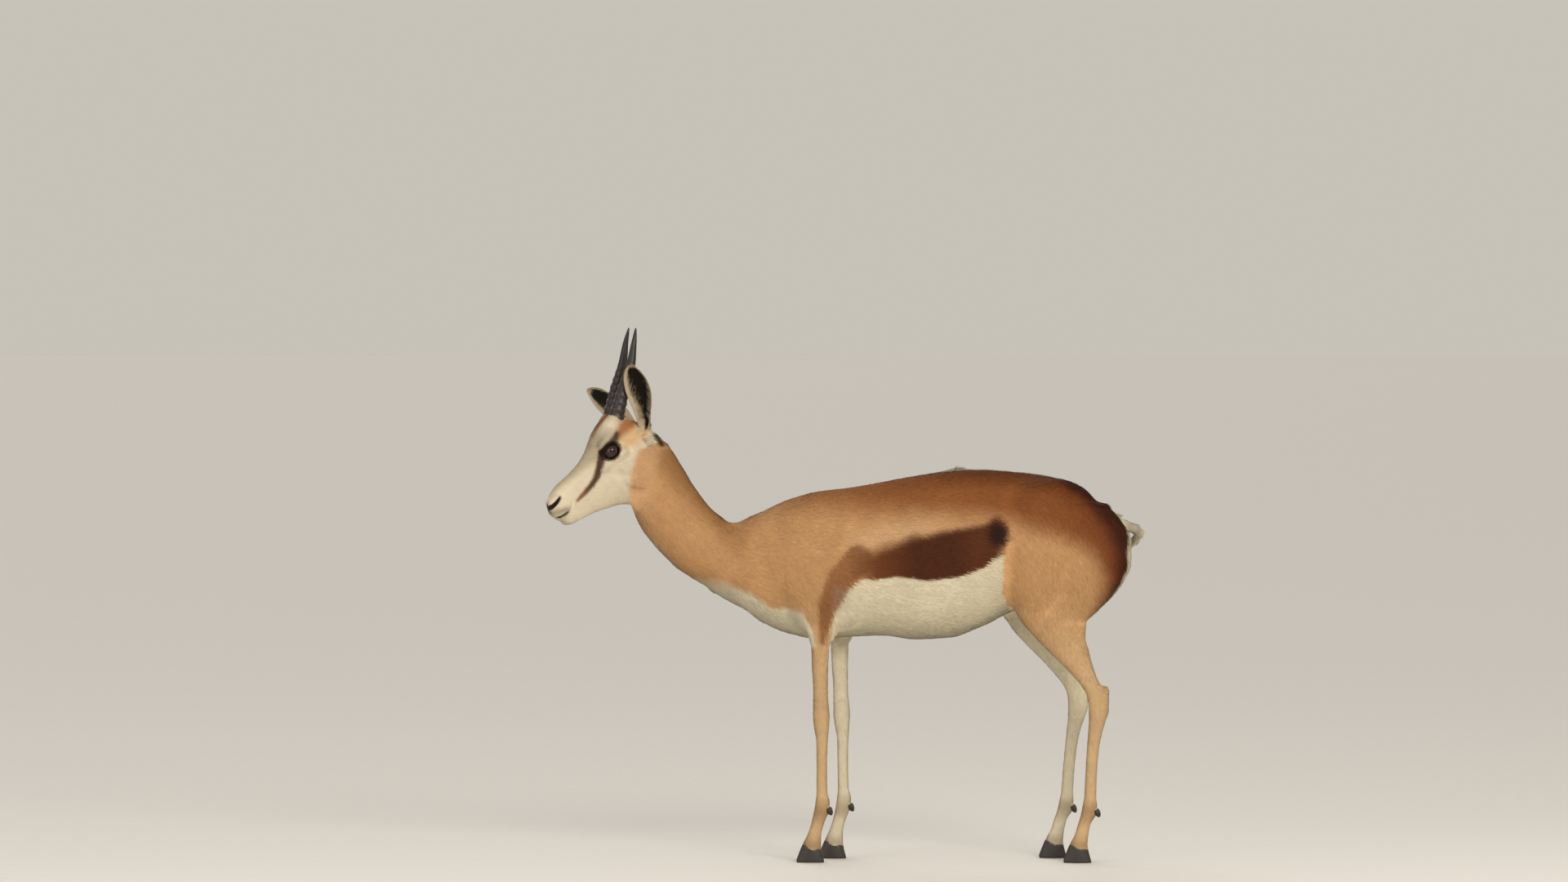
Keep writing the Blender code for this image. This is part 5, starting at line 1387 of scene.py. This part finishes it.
def spikes(roots, way, bend, length, width, flat):
    """Curved tapered hairs of four sides, each bending toward the bend, flattened across the flat direction."""
    t = np.linspace(0, 1, WISP_STATIONS)[None, :, None]
    path = roots[:, None, :] + (way[:, None, :] * t + bend[:, None, :] * t**2) * length[:, None, None]
    along = np.gradient(path, axis=1)
    along /= np.linalg.norm(along, axis=2)[:, :, None]
    first = np.cross(along, flat[:, None, :])
    first /= np.linalg.norm(first, axis=2)[:, :, None]
    second = np.cross(along, first)
    size = (width[:, None, None] / 2) * (1 - t) ** 0.7 + 0.03 * MM
    sides = [first * size, second * size * 0.5, -first * size, -second * size * 0.5]
    rings = np.stack([path + offset for offset in sides], axis=2)
    count, stations = rings.shape[:2]
    points = rings.reshape(-1, 3)
    ring = np.arange(stations - 1)[:, None] * 4
    step = np.arange(4)[None, :]
    after = (step + 1) % 4
    a, b, c, d = (v.ravel() for v in (ring + step, ring + after, ring + 4 + after, ring + 4 + step))
    one = np.concatenate([np.column_stack([a, b, c]), np.column_stack([a, c, d])])
    last = (stations - 1) * 4
    caps = np.array([[0, 2, 1], [0, 3, 2], [last, last + 1, last + 2], [last, last + 2, last + 3]])
    one = np.concatenate([one, caps])
    faces = (np.arange(count)[:, None, None] * stations * 4 + one[None]).reshape(-1, 3)
    return points, faces


def hair_mesh(name, points, faces, tint, patch):
    """A mesh of hairs, each in its own colour and with its own small patch of the piece's bake map."""
    mesh = mesh_from(name, points, faces)
    corner = np.arange(WISP_STATIONS * 4)
    paint_mesh(mesh, np.repeat(np.clip(tint, 0, 1), len(corner), axis=0))
    bake_map(mesh, np.column_stack([corner % 4 - 1.5, 3 * (corner // 4) / (WISP_STATIONS - 1) - 1.5]), patch)
    return mesh


for side, word in ((1, "left"), (-1, "right")):
    draw = np.random.default_rng(31 + side)
    root, way, facing, aside = ear_axes(side)
    t = draw.uniform(0.16, 0.92, EAR_WISPS)
    edge = np.where(draw.random(EAR_WISPS) < 0.6, -1, 1)
    u = edge * draw.triangular(0.25, 0.84, 0.9, EAR_WISPS)
    half, deep, thick, open_share, bend_at = ear_form(t)
    bow = 1 - np.abs(u) ** EAR_BOW
    front = -deep * bow + thick * (0.55 + 0.45 * bow) + bend_at
    spots = root + (t * EAR_LENGTH)[:, None] * way + (u * half)[:, None] * aside + (front - 0.4 * MM)[:, None] * facing
    lean = way[None] * 0.9 - aside[None] * (np.sign(u) * 0.42)[:, None] + facing[None] * 0.16
    lean = lean + draw.normal(0, 0.12, (EAR_WISPS, 3))
    lean /= np.linalg.norm(lean, axis=1)[:, None]
    curl = np.tile(-0.18 * facing, (EAR_WISPS, 1)) + draw.normal(0, 0.06, (EAR_WISPS, 3))
    size = WISP_LENGTH * draw.uniform(0.5, 1.1, EAR_WISPS) * MM * (1.05 - 0.5 * t)
    width = draw.uniform(0.45, 0.8, EAR_WISPS) * MM
    hair, faces = spikes(spots, lean, curl, size, width, np.tile(facing, (EAR_WISPS, 1)))
    pale = step_up(np.abs(u), 0.3, 0.85)[:, None] * draw.uniform(0.55, 1.0, EAR_WISPS)[:, None]
    tint = linear("4A4037") + (EAR_RIM - linear("4A4037")) * pale
    wisps = put(hair_mesh("ear_hair_" + word, hair, faces, tint, (t, 0.5 + u / 2)), "ear_hair_" + word)
    wisps.data.materials.append(springbok_hair)
    settle(wisps, "white_coat")


# Eyes. A springbok's eye is dark brown and stands a little out of the head, its pupil a level bar, its cornea wet.
EYE_RINGS = 72
EYE_SIDES = 96
CORNEA_BULGE = 0.045
PUPIL_HALF = (5.4, 2.5)
IRIS_RADIUS = 11.6
eye_dark = linear("1A0E08")
eye_brown = linear("2A150B")
eye_amber = linear("432410")

wet_eye, tree, shader = material("wet_eye", 0.5, Coat_Weight=1.0, Coat_Roughness=0.03, Coat_IOR=1.376, IOR=1.2)
tint = node(tree, "ShaderNodeAttribute", {"attribute_name": "coat_colour"}).outputs["Color"]
tree.links.new(tint, shader.inputs["Base Color"])
for side, word in ((1, "left"), (-1, "right")):
    along, aside, crown = EYE_PLACE
    centre = head_to_world((along, side * aside, crown))
    pole = HEAD_LEFT * side
    level_way = np.cross(UPWARD, pole)
    level_way /= np.linalg.norm(level_way)
    rise_way = np.cross(pole, level_way)
    tilt = np.linspace(0.01, math.pi - 0.01, EYE_RINGS)[:, None]
    turn = (np.arange(EYE_SIDES) * 2 * math.pi / EYE_SIDES)[None, :]
    radius = EYE_RADIUS * (1 + CORNEA_BULGE * np.exp(-((tilt / 0.62) ** 4)))
    h, v = np.sin(tilt) * np.cos(turn), np.sin(tilt) * np.sin(turn)
    out = np.cos(tilt) * np.ones_like(turn)
    ball = centre + radius[..., None] * (
        h[..., None] * level_way + v[..., None] * rise_way + out[..., None] * pole
    )
    points, faces = closed_tube(ball)
    offset = (points - centre) / MM
    across, up = offset @ level_way, offset @ rise_way
    from_middle = np.hypot(across, up)
    fibre = 0.5 + 0.5 * np.sin(np.arctan2(up, across) * 46 + 2.2 * np.sin(np.arctan2(up, across) * 7))
    tint = eye_brown + (eye_amber - eye_brown) * (fibre * 0.6 * step_up(from_middle, 3, 9))[:, None]
    limbus = step_up(from_middle, IRIS_RADIUS - 2.2, IRIS_RADIUS)[:, None]
    tint = tint + (eye_dark - tint) * limbus
    slit = (np.abs(across / PUPIL_HALF[0]) ** 3 + np.abs(up / PUPIL_HALF[1]) ** 2.4)[:, None]
    tint = tint + (linear("020202") - tint) * (1 - step_up(slit, 0.8, 1.25))
    mesh = mesh_from("eyeball_" + word, points, faces)
    paint_mesh(mesh, tint)
    mesh.materials.append(wet_eye)
    settle(put(mesh, "eyeball_" + word), "dark_eye", "eye_" + word)


# Lids. Their bare black rims lie round the opening, and dark lashes stand out from the upper one.
RIM_PLACES = 120
RIM_SIDES = 10
RIM_THICK = 1.25 * MM
RIM_SPREAD = 1.03
LASHES = 46
LASH_LENGTH = 9.5

bare_lid, tree, shader = material("bare_black_lid", 0.38)
place = node(tree, "ShaderNodeTexCoord").outputs["Object"]
creases = node(tree, "ShaderNodeTexNoise", Vector=place, Scale=900.0, Detail=2.0)
shade = node(tree, "ShaderNodeMix", {"data_type": "RGBA"}, Factor=creases.outputs["Fac"])
shade.inputs["A"].default_value = (*linear("17100C"), 1)
shade.inputs["B"].default_value = (*linear("2A1D16"), 1)
tree.links.new(shade.outputs["Result"], shader.inputs["Base Color"])
relief = node(tree, "ShaderNodeBump", Height=creases.outputs["Fac"], Strength=0.3, Distance=0.3 * MM)
tree.links.new(relief.outputs["Normal"], shader.inputs["Normal"])


def on_face(a, c, side):
    """Places in the head's own mm and in the animal's metres where the skin's outermost point aside is."""
    reach = np.linspace(58, 2, 141)
    spots = (
        POLL
        + a[:, None, None] * MM * HEAD_AXIS
        + (side * reach)[None, :, None] * MM * HEAD_LEFT
        + c[:, None, None] * MM * HEAD_CROWN
    )
    field = head(spots[..., 0], spots[..., 1], spots[..., 2]) + FACE_COAT
    first = np.argmax(field < 0, axis=1)
    return spots[np.arange(len(a)), first][(field < 0).any(axis=1)]


def lid_edge(side, turn, spread):
    """Places on the lids' edge at these angles round it, on the skin."""
    front = np.cos(turn) > 0
    longest = np.where(front, LID_FRONT[0], LID_OPENING[0]) * spread
    power = np.where(front, LID_FRONT[1], LID_POWERS[0])
    long_way = longest * np.sign(np.cos(turn)) * np.abs(np.cos(turn)) ** (2 / power)
    short_way = LID_OPENING[1] * spread * np.sign(np.sin(turn)) * np.abs(np.sin(turn)) ** (2 / LID_POWERS[1])
    a = EYE_PLACE[0] - LID_SHIFT + long_way * math.cos(LID_TILT) + short_way * math.sin(LID_TILT)
    c = EYE_PLACE[2] - long_way * math.sin(LID_TILT) + short_way * math.cos(LID_TILT)
    return on_face(a, c, side)


def looped_tube(path, outward, thick, sides):
    """Points and triangles of a ring of round section along a closed path."""
    count = len(path)
    along = np.roll(path, -1, axis=0) - np.roll(path, 1, axis=0)
    along /= np.linalg.norm(along, axis=1)[:, None]
    second = np.cross(along, outward)
    second /= np.linalg.norm(second, axis=1)[:, None]
    first = np.cross(second, along)
    turn = (np.arange(sides) * 2 * math.pi / sides)[None, :, None]
    rings = path[:, None, :] + thick * (np.cos(turn) * first[:, None, :] + np.sin(turn) * second[:, None, :])
    row = np.arange(count)[:, None] * sides
    ahead = (np.arange(count)[:, None] + 1) % count * sides
    step = np.arange(sides)[None, :]
    after = (step + 1) % sides
    a, b, c, d = (v.ravel() for v in (row + step, row + after, ahead + after, ahead + step))
    return rings.reshape(-1, 3), np.concatenate([np.column_stack([a, b, c]), np.column_stack([a, c, d])])


lash_hair, tree, shader = material("lash_hair", 0.45)
shader.inputs["Base Color"].default_value = (*linear("120D0A"), 1)
strand = node(tree, "ShaderNodeTexNoise", Vector=node(tree, "ShaderNodeTexCoord").outputs["Object"], Scale=1500.0)
relief = node(tree, "ShaderNodeBump", Height=strand.outputs["Fac"], Strength=0.2, Distance=0.1 * MM)
tree.links.new(relief.outputs["Normal"], shader.inputs["Normal"])
for side, word in ((1, "left"), (-1, "right")):
    turn = np.arange(RIM_PLACES) * 2 * math.pi / RIM_PLACES
    path = lid_edge(side, turn, RIM_SPREAD)
    for _ in range(6):
        path = (path + 0.5 * (np.roll(path, 1, axis=0) + np.roll(path, -1, axis=0))) / 2
    pole = HEAD_LEFT * side
    points, faces = looped_tube(path - pole * 0.5 * MM, np.tile(pole, (RIM_PLACES, 1)), RIM_THICK, RIM_SIDES)
    mesh = mesh_from("lid_rim_" + word, points, faces)
    mesh.materials.append(bare_lid)
    settle(put(mesh, "lid_rim_" + word), "dark_eye")
    draw = np.random.default_rng(44 + side)
    spread = np.linspace(math.radians(28), math.radians(158), LASHES) + draw.normal(0, 0.02, LASHES)
    roots = lid_edge(side, spread, RIM_SPREAD)
    centre = head_to_world((EYE_PLACE[0], side * EYE_PLACE[1], EYE_PLACE[2]))
    away = roots - centre
    away /= np.linalg.norm(away, axis=1)[:, None]
    lean = pole * 0.75 + away * 0.5 + np.array([0, 0, 0.12]) + draw.normal(0, 0.08, (LASHES, 3))
    lean /= np.linalg.norm(lean, axis=1)[:, None]
    curl = np.tile([0.0, 0.0, 0.35], (LASHES, 1)) + draw.normal(0, 0.06, (LASHES, 3))
    size = LASH_LENGTH * draw.uniform(0.7, 1.1, LASHES) * np.sin(spread) ** 0.4 * MM
    width = np.full(LASHES, 0.5 * MM)
    hair, faces = spikes(roots, lean, curl, size, width, np.tile(pole, (LASHES, 1)))
    mesh = mesh_from("lashes_" + word, hair, faces)
    mesh.materials.append(lash_hair)
    settle(put(mesh, "lashes_" + word), "dark_eye")


# Whiskers: stiff single hairs, dark and pale, rooted in loose rows on the lips and the chin.
WHISKERS = 34
whisker_hair, tree, shader = material("whisker_hair", 0.4)
tint = node(tree, "ShaderNodeAttribute", {"attribute_name": "coat_colour"}).outputs["Color"]
tree.links.new(tint, shader.inputs["Base Color"])
for side, word in ((1, "left"), (-1, "right")):
    draw = np.random.default_rng(61 + side)
    upper = np.arange(WHISKERS) < 22
    a = np.where(upper, draw.uniform(208, 246, WHISKERS), draw.uniform(206, 236, WHISKERS))
    row = np.arange(WHISKERS) % 5
    c = np.where(upper, 13 + 3.4 * row + (a - 208) * 0.16, -4 - 3.0 * (row % 3)) + draw.normal(0, 0.7, WHISKERS)
    roots = on_face(a, c, side) - side * 0.6 * MM * HEAD_LEFT
    count = len(roots)
    lean = side * HEAD_LEFT * 0.7 - HEAD_AXIS * 0.5 - HEAD_CROWN * 0.4 + draw.normal(0, 0.14, (count, 3))
    lean /= np.linalg.norm(lean, axis=1)[:, None]
    curl = np.tile([0.0, 0.0, -0.3], (count, 1)) - 0.2 * HEAD_AXIS
    size = draw.uniform(6, 15, count) * MM
    hair, faces = spikes(roots, lean, curl, size, np.full(count, 0.24 * MM), np.tile(HEAD_AXIS, (count, 1)))
    tint = np.where(draw.random(count)[:, None] < 0.5, linear("3A2F27"), linear("CFC3AC"))
    mesh = hair_mesh("whiskers_" + word, hair, faces, tint, ((np.arange(count) + 0.5) / count, 0.5))
    mesh.materials.append(whisker_hair)
    settle(put(mesh, "whiskers_" + word), "white_coat")


# Horns. Keratin sheaths grown in rings over bone: ridged and dull below, worn smooth and shiny toward the tip.
HORN_RADIUS = 13.5 * MM
HORN_PATH = (
    (34, 16, 82),
    (27, 17.5, 95),
    (8, 19.5, 111),
    (-14.6, 22, 129.5),
    (-54.8, 25, 159.3),
    (-83.5, 25, 187.7),
    (-108.5, 21, 211.1),
)
HORN_STATIONS = 360
HORN_SIDES = 56
HORN_TIP = 0.9 * MM
HORN_TAPER = 0.72
HORN_DEEPER = 1.12
HORN_RINGS = 9
RING_DEPTH = 0.062
RINGED_SHARE = 0.68
FINE_RINGS = 74

horn_keratin, tree, shader = material("horn_keratin", 0.42)
place = node(tree, "ShaderNodeTexCoord").outputs["Object"]
worn = node(tree, "ShaderNodeAttribute", {"attribute_name": "coat_colour"}).outputs["Color"]
fibres = node(tree, "ShaderNodeTexNoise", Vector=place, Scale=420.0, Detail=4.0, Roughness=0.65)
blotch = node(tree, "ShaderNodeMapRange", Value=fibres.outputs["Fac"])
blotch.inputs["To Min"].default_value = 0.72
blotch.inputs["To Max"].default_value = 1.25
shade = node(tree, "ShaderNodeMix", {"data_type": "RGBA", "blend_type": "MULTIPLY"}, Factor=1.0)
tree.links.new(worn, shade.inputs["A"])
tree.links.new(blotch.outputs["Result"], shade.inputs["B"])
tree.links.new(shade.outputs["Result"], shader.inputs["Base Color"])
relief = node(tree, "ShaderNodeBump", Height=fibres.outputs["Fac"], Strength=0.4, Distance=0.4 * MM)
tree.links.new(relief.outputs["Normal"], shader.inputs["Normal"])


def smooth_path(points, count):
    """This many places along a curve through the points, evenly spread by length."""
    points = np.array(points, float)
    length = np.concatenate([[0], np.cumsum(np.linalg.norm(np.diff(points, axis=0), axis=1))])
    fine = pchip(np.column_stack([length, points]), length[-1] / 400)
    even = np.linspace(0, length[-1], count)
    return np.column_stack([np.interp(even, fine[0], column) for column in fine[1:]])


for side, word in ((1, "left"), (-1, "right")):
    path = smooth_path(HORN_PATH, HORN_STATIONS)
    kernel = np.hanning(41)
    kernel /= kernel.sum()
    padded = np.pad(path, ((20, 20), (0, 0)), mode="reflect", reflect_type="odd")
    path = np.column_stack([np.convolve(column, kernel, mode="valid") for column in padded.T])
    path[:, 1] *= side
    path = POLL + (path[:, :1] * HEAD_AXIS + path[:, 1:2] * HEAD_LEFT + path[:, 2:] * HEAD_CROWN) * MM
    t = np.linspace(0, 1, HORN_STATIONS)[:, None]
    turn = (np.arange(HORN_SIDES) * 2 * math.pi / HORN_SIDES)[None, :]
    ringed = np.clip((RINGED_SHARE - t) / 0.16, 0, 1) * np.clip((t - 0.03) / 0.05, 0, 1)
    phase = HORN_RINGS * (t - 0.08) / RINGED_SHARE + 0.05 * np.sin(2 * turn + 9 * t)
    ridge = 1 - 2 * np.abs(((phase + 0.5) % 1) - 0.5) ** 0.75 * 1.68
    fine_rings = np.sin(2 * math.pi * FINE_RINGS * t + 0.6 * np.sin(3 * turn + 20 * t))
    grain = 0.004 * np.sin(turn * 23 + 3 * np.sin(5 * t)) + 0.004 * np.sin(turn * 13 + 1.3)
    radius = HORN_RADIUS * (1 - t) ** HORN_TAPER * (1 + 0.12 * t) + HORN_TIP
    radius = radius * (1 + RING_DEPTH * ringed * ridge + 0.007 * ringed * fine_rings + grain * (1 - t))
    along = np.gradient(path, axis=0)
    along /= np.linalg.norm(along, axis=1)[:, None]
    first = HEAD_AXIS - along * (along @ HEAD_AXIS)[:, None]
    first /= np.linalg.norm(first, axis=1)[:, None]
    second = np.cross(along, first)
    ring = np.cos(turn)[..., None] * first[:, None, :] * HORN_DEEPER + np.sin(turn)[..., None] * second[:, None, :]
    points, faces = closed_tube(path[:, None, :] + ring * radius[..., None])
    rubbed = np.clip(ridge, 0, 1) * ringed * 0.5 + 0.16 * np.clip(fine_rings, 0, 1) * ringed
    tint = linear("1D1815")[None, None] + (linear("4A4038") - linear("1D1815")) * rubbed[..., None]
    polished = step_up(t, 0.62, 0.9)[..., None] * np.ones_like(turn)[..., None]
    tint = tint + (linear("15110F") - tint) * polished
    tint = np.concatenate([tint.reshape(-1, 3), np.tile(linear("1D1815"), (2, 1))])
    mesh = mesh_from("horn_sheath_" + word, points, faces)
    paint_mesh(mesh, tint)
    mesh.materials.append(horn_keratin)
    settle(put(mesh, "horn_sheath_" + word), "dark_horn", "horn_" + word)


# Hooves. Two claws of black horn on each foot, pointed in front, grown in fine rings that follow the coronet.
# Two small dew claws of the same horn stand behind each fetlock.
CLAW_TOE = (18, 12)
CLAW_HEEL = (18, 6)
CLAW_ASIDE = 9.6
CLAW_HALF = ((0.0, 0.12, 0.5, 0.86, 0.95, 1.0), (7.9, 8.4, 8.2, 7.6, 7.0, 5.9))
CLAW_SPREAD = ((0.0, 0.12, 0.9, 1.0), (0.96, 1.0, 0.10, -0.04))
CLAW_LEVELS = 44
CLAW_SIDES = 48
TOE_NARROWING = 0.42
CLAW_RINGS = 13
DEW_CLAW_LENGTH = 15.5
DEW_CLAW_GIRTH = ((0.0, 0.12, 0.35, 0.7, 0.9, 1.0), (4.4, 5.6, 6.1, 5.0, 3.2, 1.2))
DEW_CLAW_WAY = np.array([0.42, 0.0, -0.91])

hoof_horn, tree, shader = material("hoof_horn", 0.5)
place = node(tree, "ShaderNodeTexCoord").outputs["Object"]
upright = node(tree, "ShaderNodeMapping", Vector=place, Scale=(1.0, 1.0, 0.16)).outputs["Vector"]
tubules = node(tree, "ShaderNodeTexNoise", Vector=upright, Scale=900.0, Detail=3.0)
dust = node(tree, "ShaderNodeMix", {"data_type": "RGBA"}, Factor=tubules.outputs["Fac"])
dust.inputs["A"].default_value = (*linear("1D1814"), 1)
dust.inputs["B"].default_value = (*linear("322B24"), 1)
tree.links.new(dust.outputs["Result"], shader.inputs["Base Color"])
relief = node(tree, "ShaderNodeBump", Height=tubules.outputs["Fac"], Strength=0.3, Distance=0.25 * MM)
tree.links.new(relief.outputs["Normal"], shader.inputs["Normal"])


def dew_claw(middle):
    """Points and triangles of one dew claw, a blunt cone that leans back and down."""
    way = DEW_CLAW_WAY / np.linalg.norm(DEW_CLAW_WAY)
    level = np.linspace(0, 1, 18)[:, None]
    turn = (np.arange(24) * 2 * math.pi / 24)[None, :]
    girth = np.interp(level, *DEW_CLAW_GIRTH) + 0.12 * np.sin(level * 40)
    first = np.cross(way, (0.0, 1.0, 0.0))
    ring = np.cos(turn)[..., None] * first + np.sin(turn)[..., None] * np.array([0.0, 1.0, 0.0])
    path = np.array(middle) + (level - 0.5)[..., None] * DEW_CLAW_LENGTH * way
    return closed_tube((path + girth[..., None] * ring) * MM)


for leg, middle, shifts, masses in (
    ("foreleg", FORE_FOOT, FORE_SHIFT, FORELEG_MASSES),
    ("hindleg", HIND_FOOT, HIND_SHIFT, HINDLEG_MASSES),
):
    for side, word in ((-1, "left"), (1, "right")):
        shift = shifts[side]
        place_x = middle[0] + shift[0] + (shift[1] - shift[0]) * CORONET_HEIGHT / SHIFT_HEIGHT
        for inner, inner_word in ((True, "inner"), (False, "outer")):
            level = np.linspace(0, 1, CLAW_LEVELS)[:, None]
            turn = (np.arange(CLAW_SIDES) * 2 * math.pi / CLAW_SIDES)[None, :]
            forward = np.cos(turn)
            wide = np.sin(turn) * (1 - TOE_NARROWING * np.maximum(forward, 0) ** 2.2)
            spread = np.interp(level, *CLAW_SPREAD)
            ripple = 0.09 * np.sin(2 * math.pi * CLAW_RINGS * level) * step_up(level, 0.1, 0.3)
            half = np.interp(level, *CLAW_HALF) + ripple
            toe = place_x - CLAW_TOE[0] - CLAW_TOE[1] * spread - ripple
            heel = place_x + CLAW_HEEL[0] + CLAW_HEEL[1] * spread + ripple
            aside = side * (middle[1] + (-CLAW_ASIDE if inner else CLAW_ASIDE))
            x = (toe + heel) / 2 - forward * (heel - toe) / 2
            y = aside + wide * half
            top = CORONET_HEIGHT + 1.2 - (x - place_x) * CORONET_SLOPE
            rings = np.stack(np.broadcast_arrays(x, y, top * level), axis=-1) * MM
            points, faces = closed_tube(rings)
            name = f"{leg}_{word}_{inner_word}"
            mesh = mesh_from("hoof_" + name, points, faces)
            mesh.set_sharp_from_angle(angle=math.radians(50))
            mesh.materials.append(hoof_horn)
            settle(put(mesh, "hoof_" + name), "black_hoof", "claw_" + name)
            place = masses[1 if inner else 2][0]
            drift = limb_shift(place[2] * MM, shift) / MM
            points, faces = dew_claw((place[0] + drift + 0.5, side * place[1], place[2] - 1.5))
            mesh = mesh_from("dew_" + name, points, faces)
            mesh.materials.append(hoof_horn)
            settle(put(mesh, "dew_" + name), "black_hoof")


# Tail. It ends in a thin tassel of dark hair, its locks fanning from the tip and drooping.
TASSEL_LOCKS = 260
TASSEL_LENGTH = 62.0
TASSEL_SPREAD = 4.2
draw = np.random.default_rng(7)
tail_end = np.array(TAIL[-1][:3]) * MM
tail_back = np.array(TAIL[-2][:3]) * MM
tail_forth = (tail_end - tail_back) / np.linalg.norm(tail_end - tail_back)
first = UPWARD - tail_forth * (tail_forth @ UPWARD)
first /= np.linalg.norm(first)
second = np.cross(tail_forth, first)
turn = np.arange(TASSEL_LOCKS) * math.radians(137.5)
share = (np.arange(TASSEL_LOCKS) + 0.5) / TASSEL_LOCKS
out = np.cos(turn)[:, None] * first + np.sin(turn)[:, None] * second
back = draw.uniform(0, 26, TASSEL_LOCKS) * MM
roots = tail_end - tail_forth * back[:, None] + out * (TASSEL_SPREAD + 2.4 * (back / (26 * MM)))[:, None] * np.sqrt(share)[:, None] * MM
way = tail_forth + out * (0.06 + 0.24 * share)[:, None] + draw.normal(0, 0.05, (TASSEL_LOCKS, 3))
way /= np.linalg.norm(way, axis=1)[:, None]
droop = np.tile([0.0, 0.0, -0.32], (TASSEL_LOCKS, 1)) + draw.normal(0, 0.04, (TASSEL_LOCKS, 3))
size = TASSEL_LENGTH * (1.04 - 0.4 * share) * draw.uniform(0.75, 1.02, TASSEL_LOCKS) * MM
width = draw.uniform(1.6, 3.2, TASSEL_LOCKS) * MM
flat = np.cross(way, out + draw.normal(0, 0.3, (TASSEL_LOCKS, 3)))
hair, faces = spikes(roots, way, droop, size, width, np.cross(way, flat))
tint = linear("2E221A") * draw.uniform(0.6, 1.5, TASSEL_LOCKS)[:, None]
tassel = put(hair_mesh("tassel", hair, faces, tint, (share, turn / math.tau % 1)), "tassel")
tassel.data.materials.append(springbok_hair)
settle(tassel, "dark_tuft", "tail_tuft")


# Studio. A pale floor that runs out of view, an even pale surround, two large soft lamps in front and from behind
# a soft light that reaches the whole floor alike.
def lamp(name, kind, place, spread, power, colour):
    data = bpy.data.lights.new(name, kind)
    if kind == "AREA":
        data.shape = "DISK"
        data.size = spread
    else:
        data.angle = spread
    data.energy = power
    data.color = colour
    made = bpy.data.objects.new(name, data)
    made.location = place
    aim = Vector((0.0, 0.0, 0.55)) - Vector(place)
    made.rotation_euler = aim.to_track_quat("-Z", "Y").to_euler()
    made.visible_camera = False
    bpy.context.scene.collection.objects.link(made)


lamp("key_lamp", "AREA", (2.2, -5.1, 3.0), 2.4, 200, (1.0, 0.94, 0.86))
lamp("fill_lamp", "AREA", (-3.4, -4.4, 1.8), 3.0, 60, (1.0, 0.96, 0.91))
lamp("back_lamp", "SUN", (-2.6, 8.5, 6.4), math.radians(40), 0.75, (0.94, 0.96, 1.0))
surround = bpy.data.worlds.new("surround")
surround.use_nodes = True
backdrop = surround.node_tree.nodes["Background"]
HORIZON, OVERHEAD = linear("C7C2B8"), linear("CFCBC4")
tree = surround.node_tree
upward = node(tree, "ShaderNodeSeparateXYZ", Vector=node(tree, "ShaderNodeTexCoord").outputs["Generated"])
rise = node(tree, "ShaderNodeMapRange", Value=upward.outputs["Z"])
rise.inputs["From Min"].default_value = 0.02
rise.inputs["From Max"].default_value = 0.45
tone = node(tree, "ShaderNodeMix", {"data_type": "RGBA"}, Factor=rise.outputs["Result"])
tone.inputs["A"].default_value = (*HORIZON, 1)
tone.inputs["B"].default_value = (*OVERHEAD, 1)
tree.links.new(tone.outputs["Result"], backdrop.inputs["Color"])
backdrop.inputs["Strength"].default_value = 1.0
bpy.context.scene.world = surround
bpy.context.scene.view_settings.view_transform = "Standard"

FLOOR_REACH = 60.0
floor_points = np.array([(x, y, 0.0) for x in (-FLOOR_REACH, FLOOR_REACH) for y in (-FLOOR_REACH, FLOOR_REACH)])
floor = put(mesh_from("floor", floor_points, np.array([[0, 2, 3, 1]]), False), "floor")
painted_floor, tree, shader = material("painted_floor", 0.8)
place = node(tree, "ShaderNodeTexCoord").outputs["Object"]
grain = node(tree, "ShaderNodeTexNoise", Vector=place, Scale=30.0, Detail=3.0)
tone = node(tree, "ShaderNodeMix", {"data_type": "RGBA"}, Factor=grain.outputs["Fac"])
tone.inputs["A"].default_value = (*linear("D6D2CB"), 1)
tone.inputs["B"].default_value = (*linear("DDD9D2"), 1)
tree.links.new(tone.outputs["Result"], shader.inputs["Base Color"])
floor.data.materials.append(painted_floor)
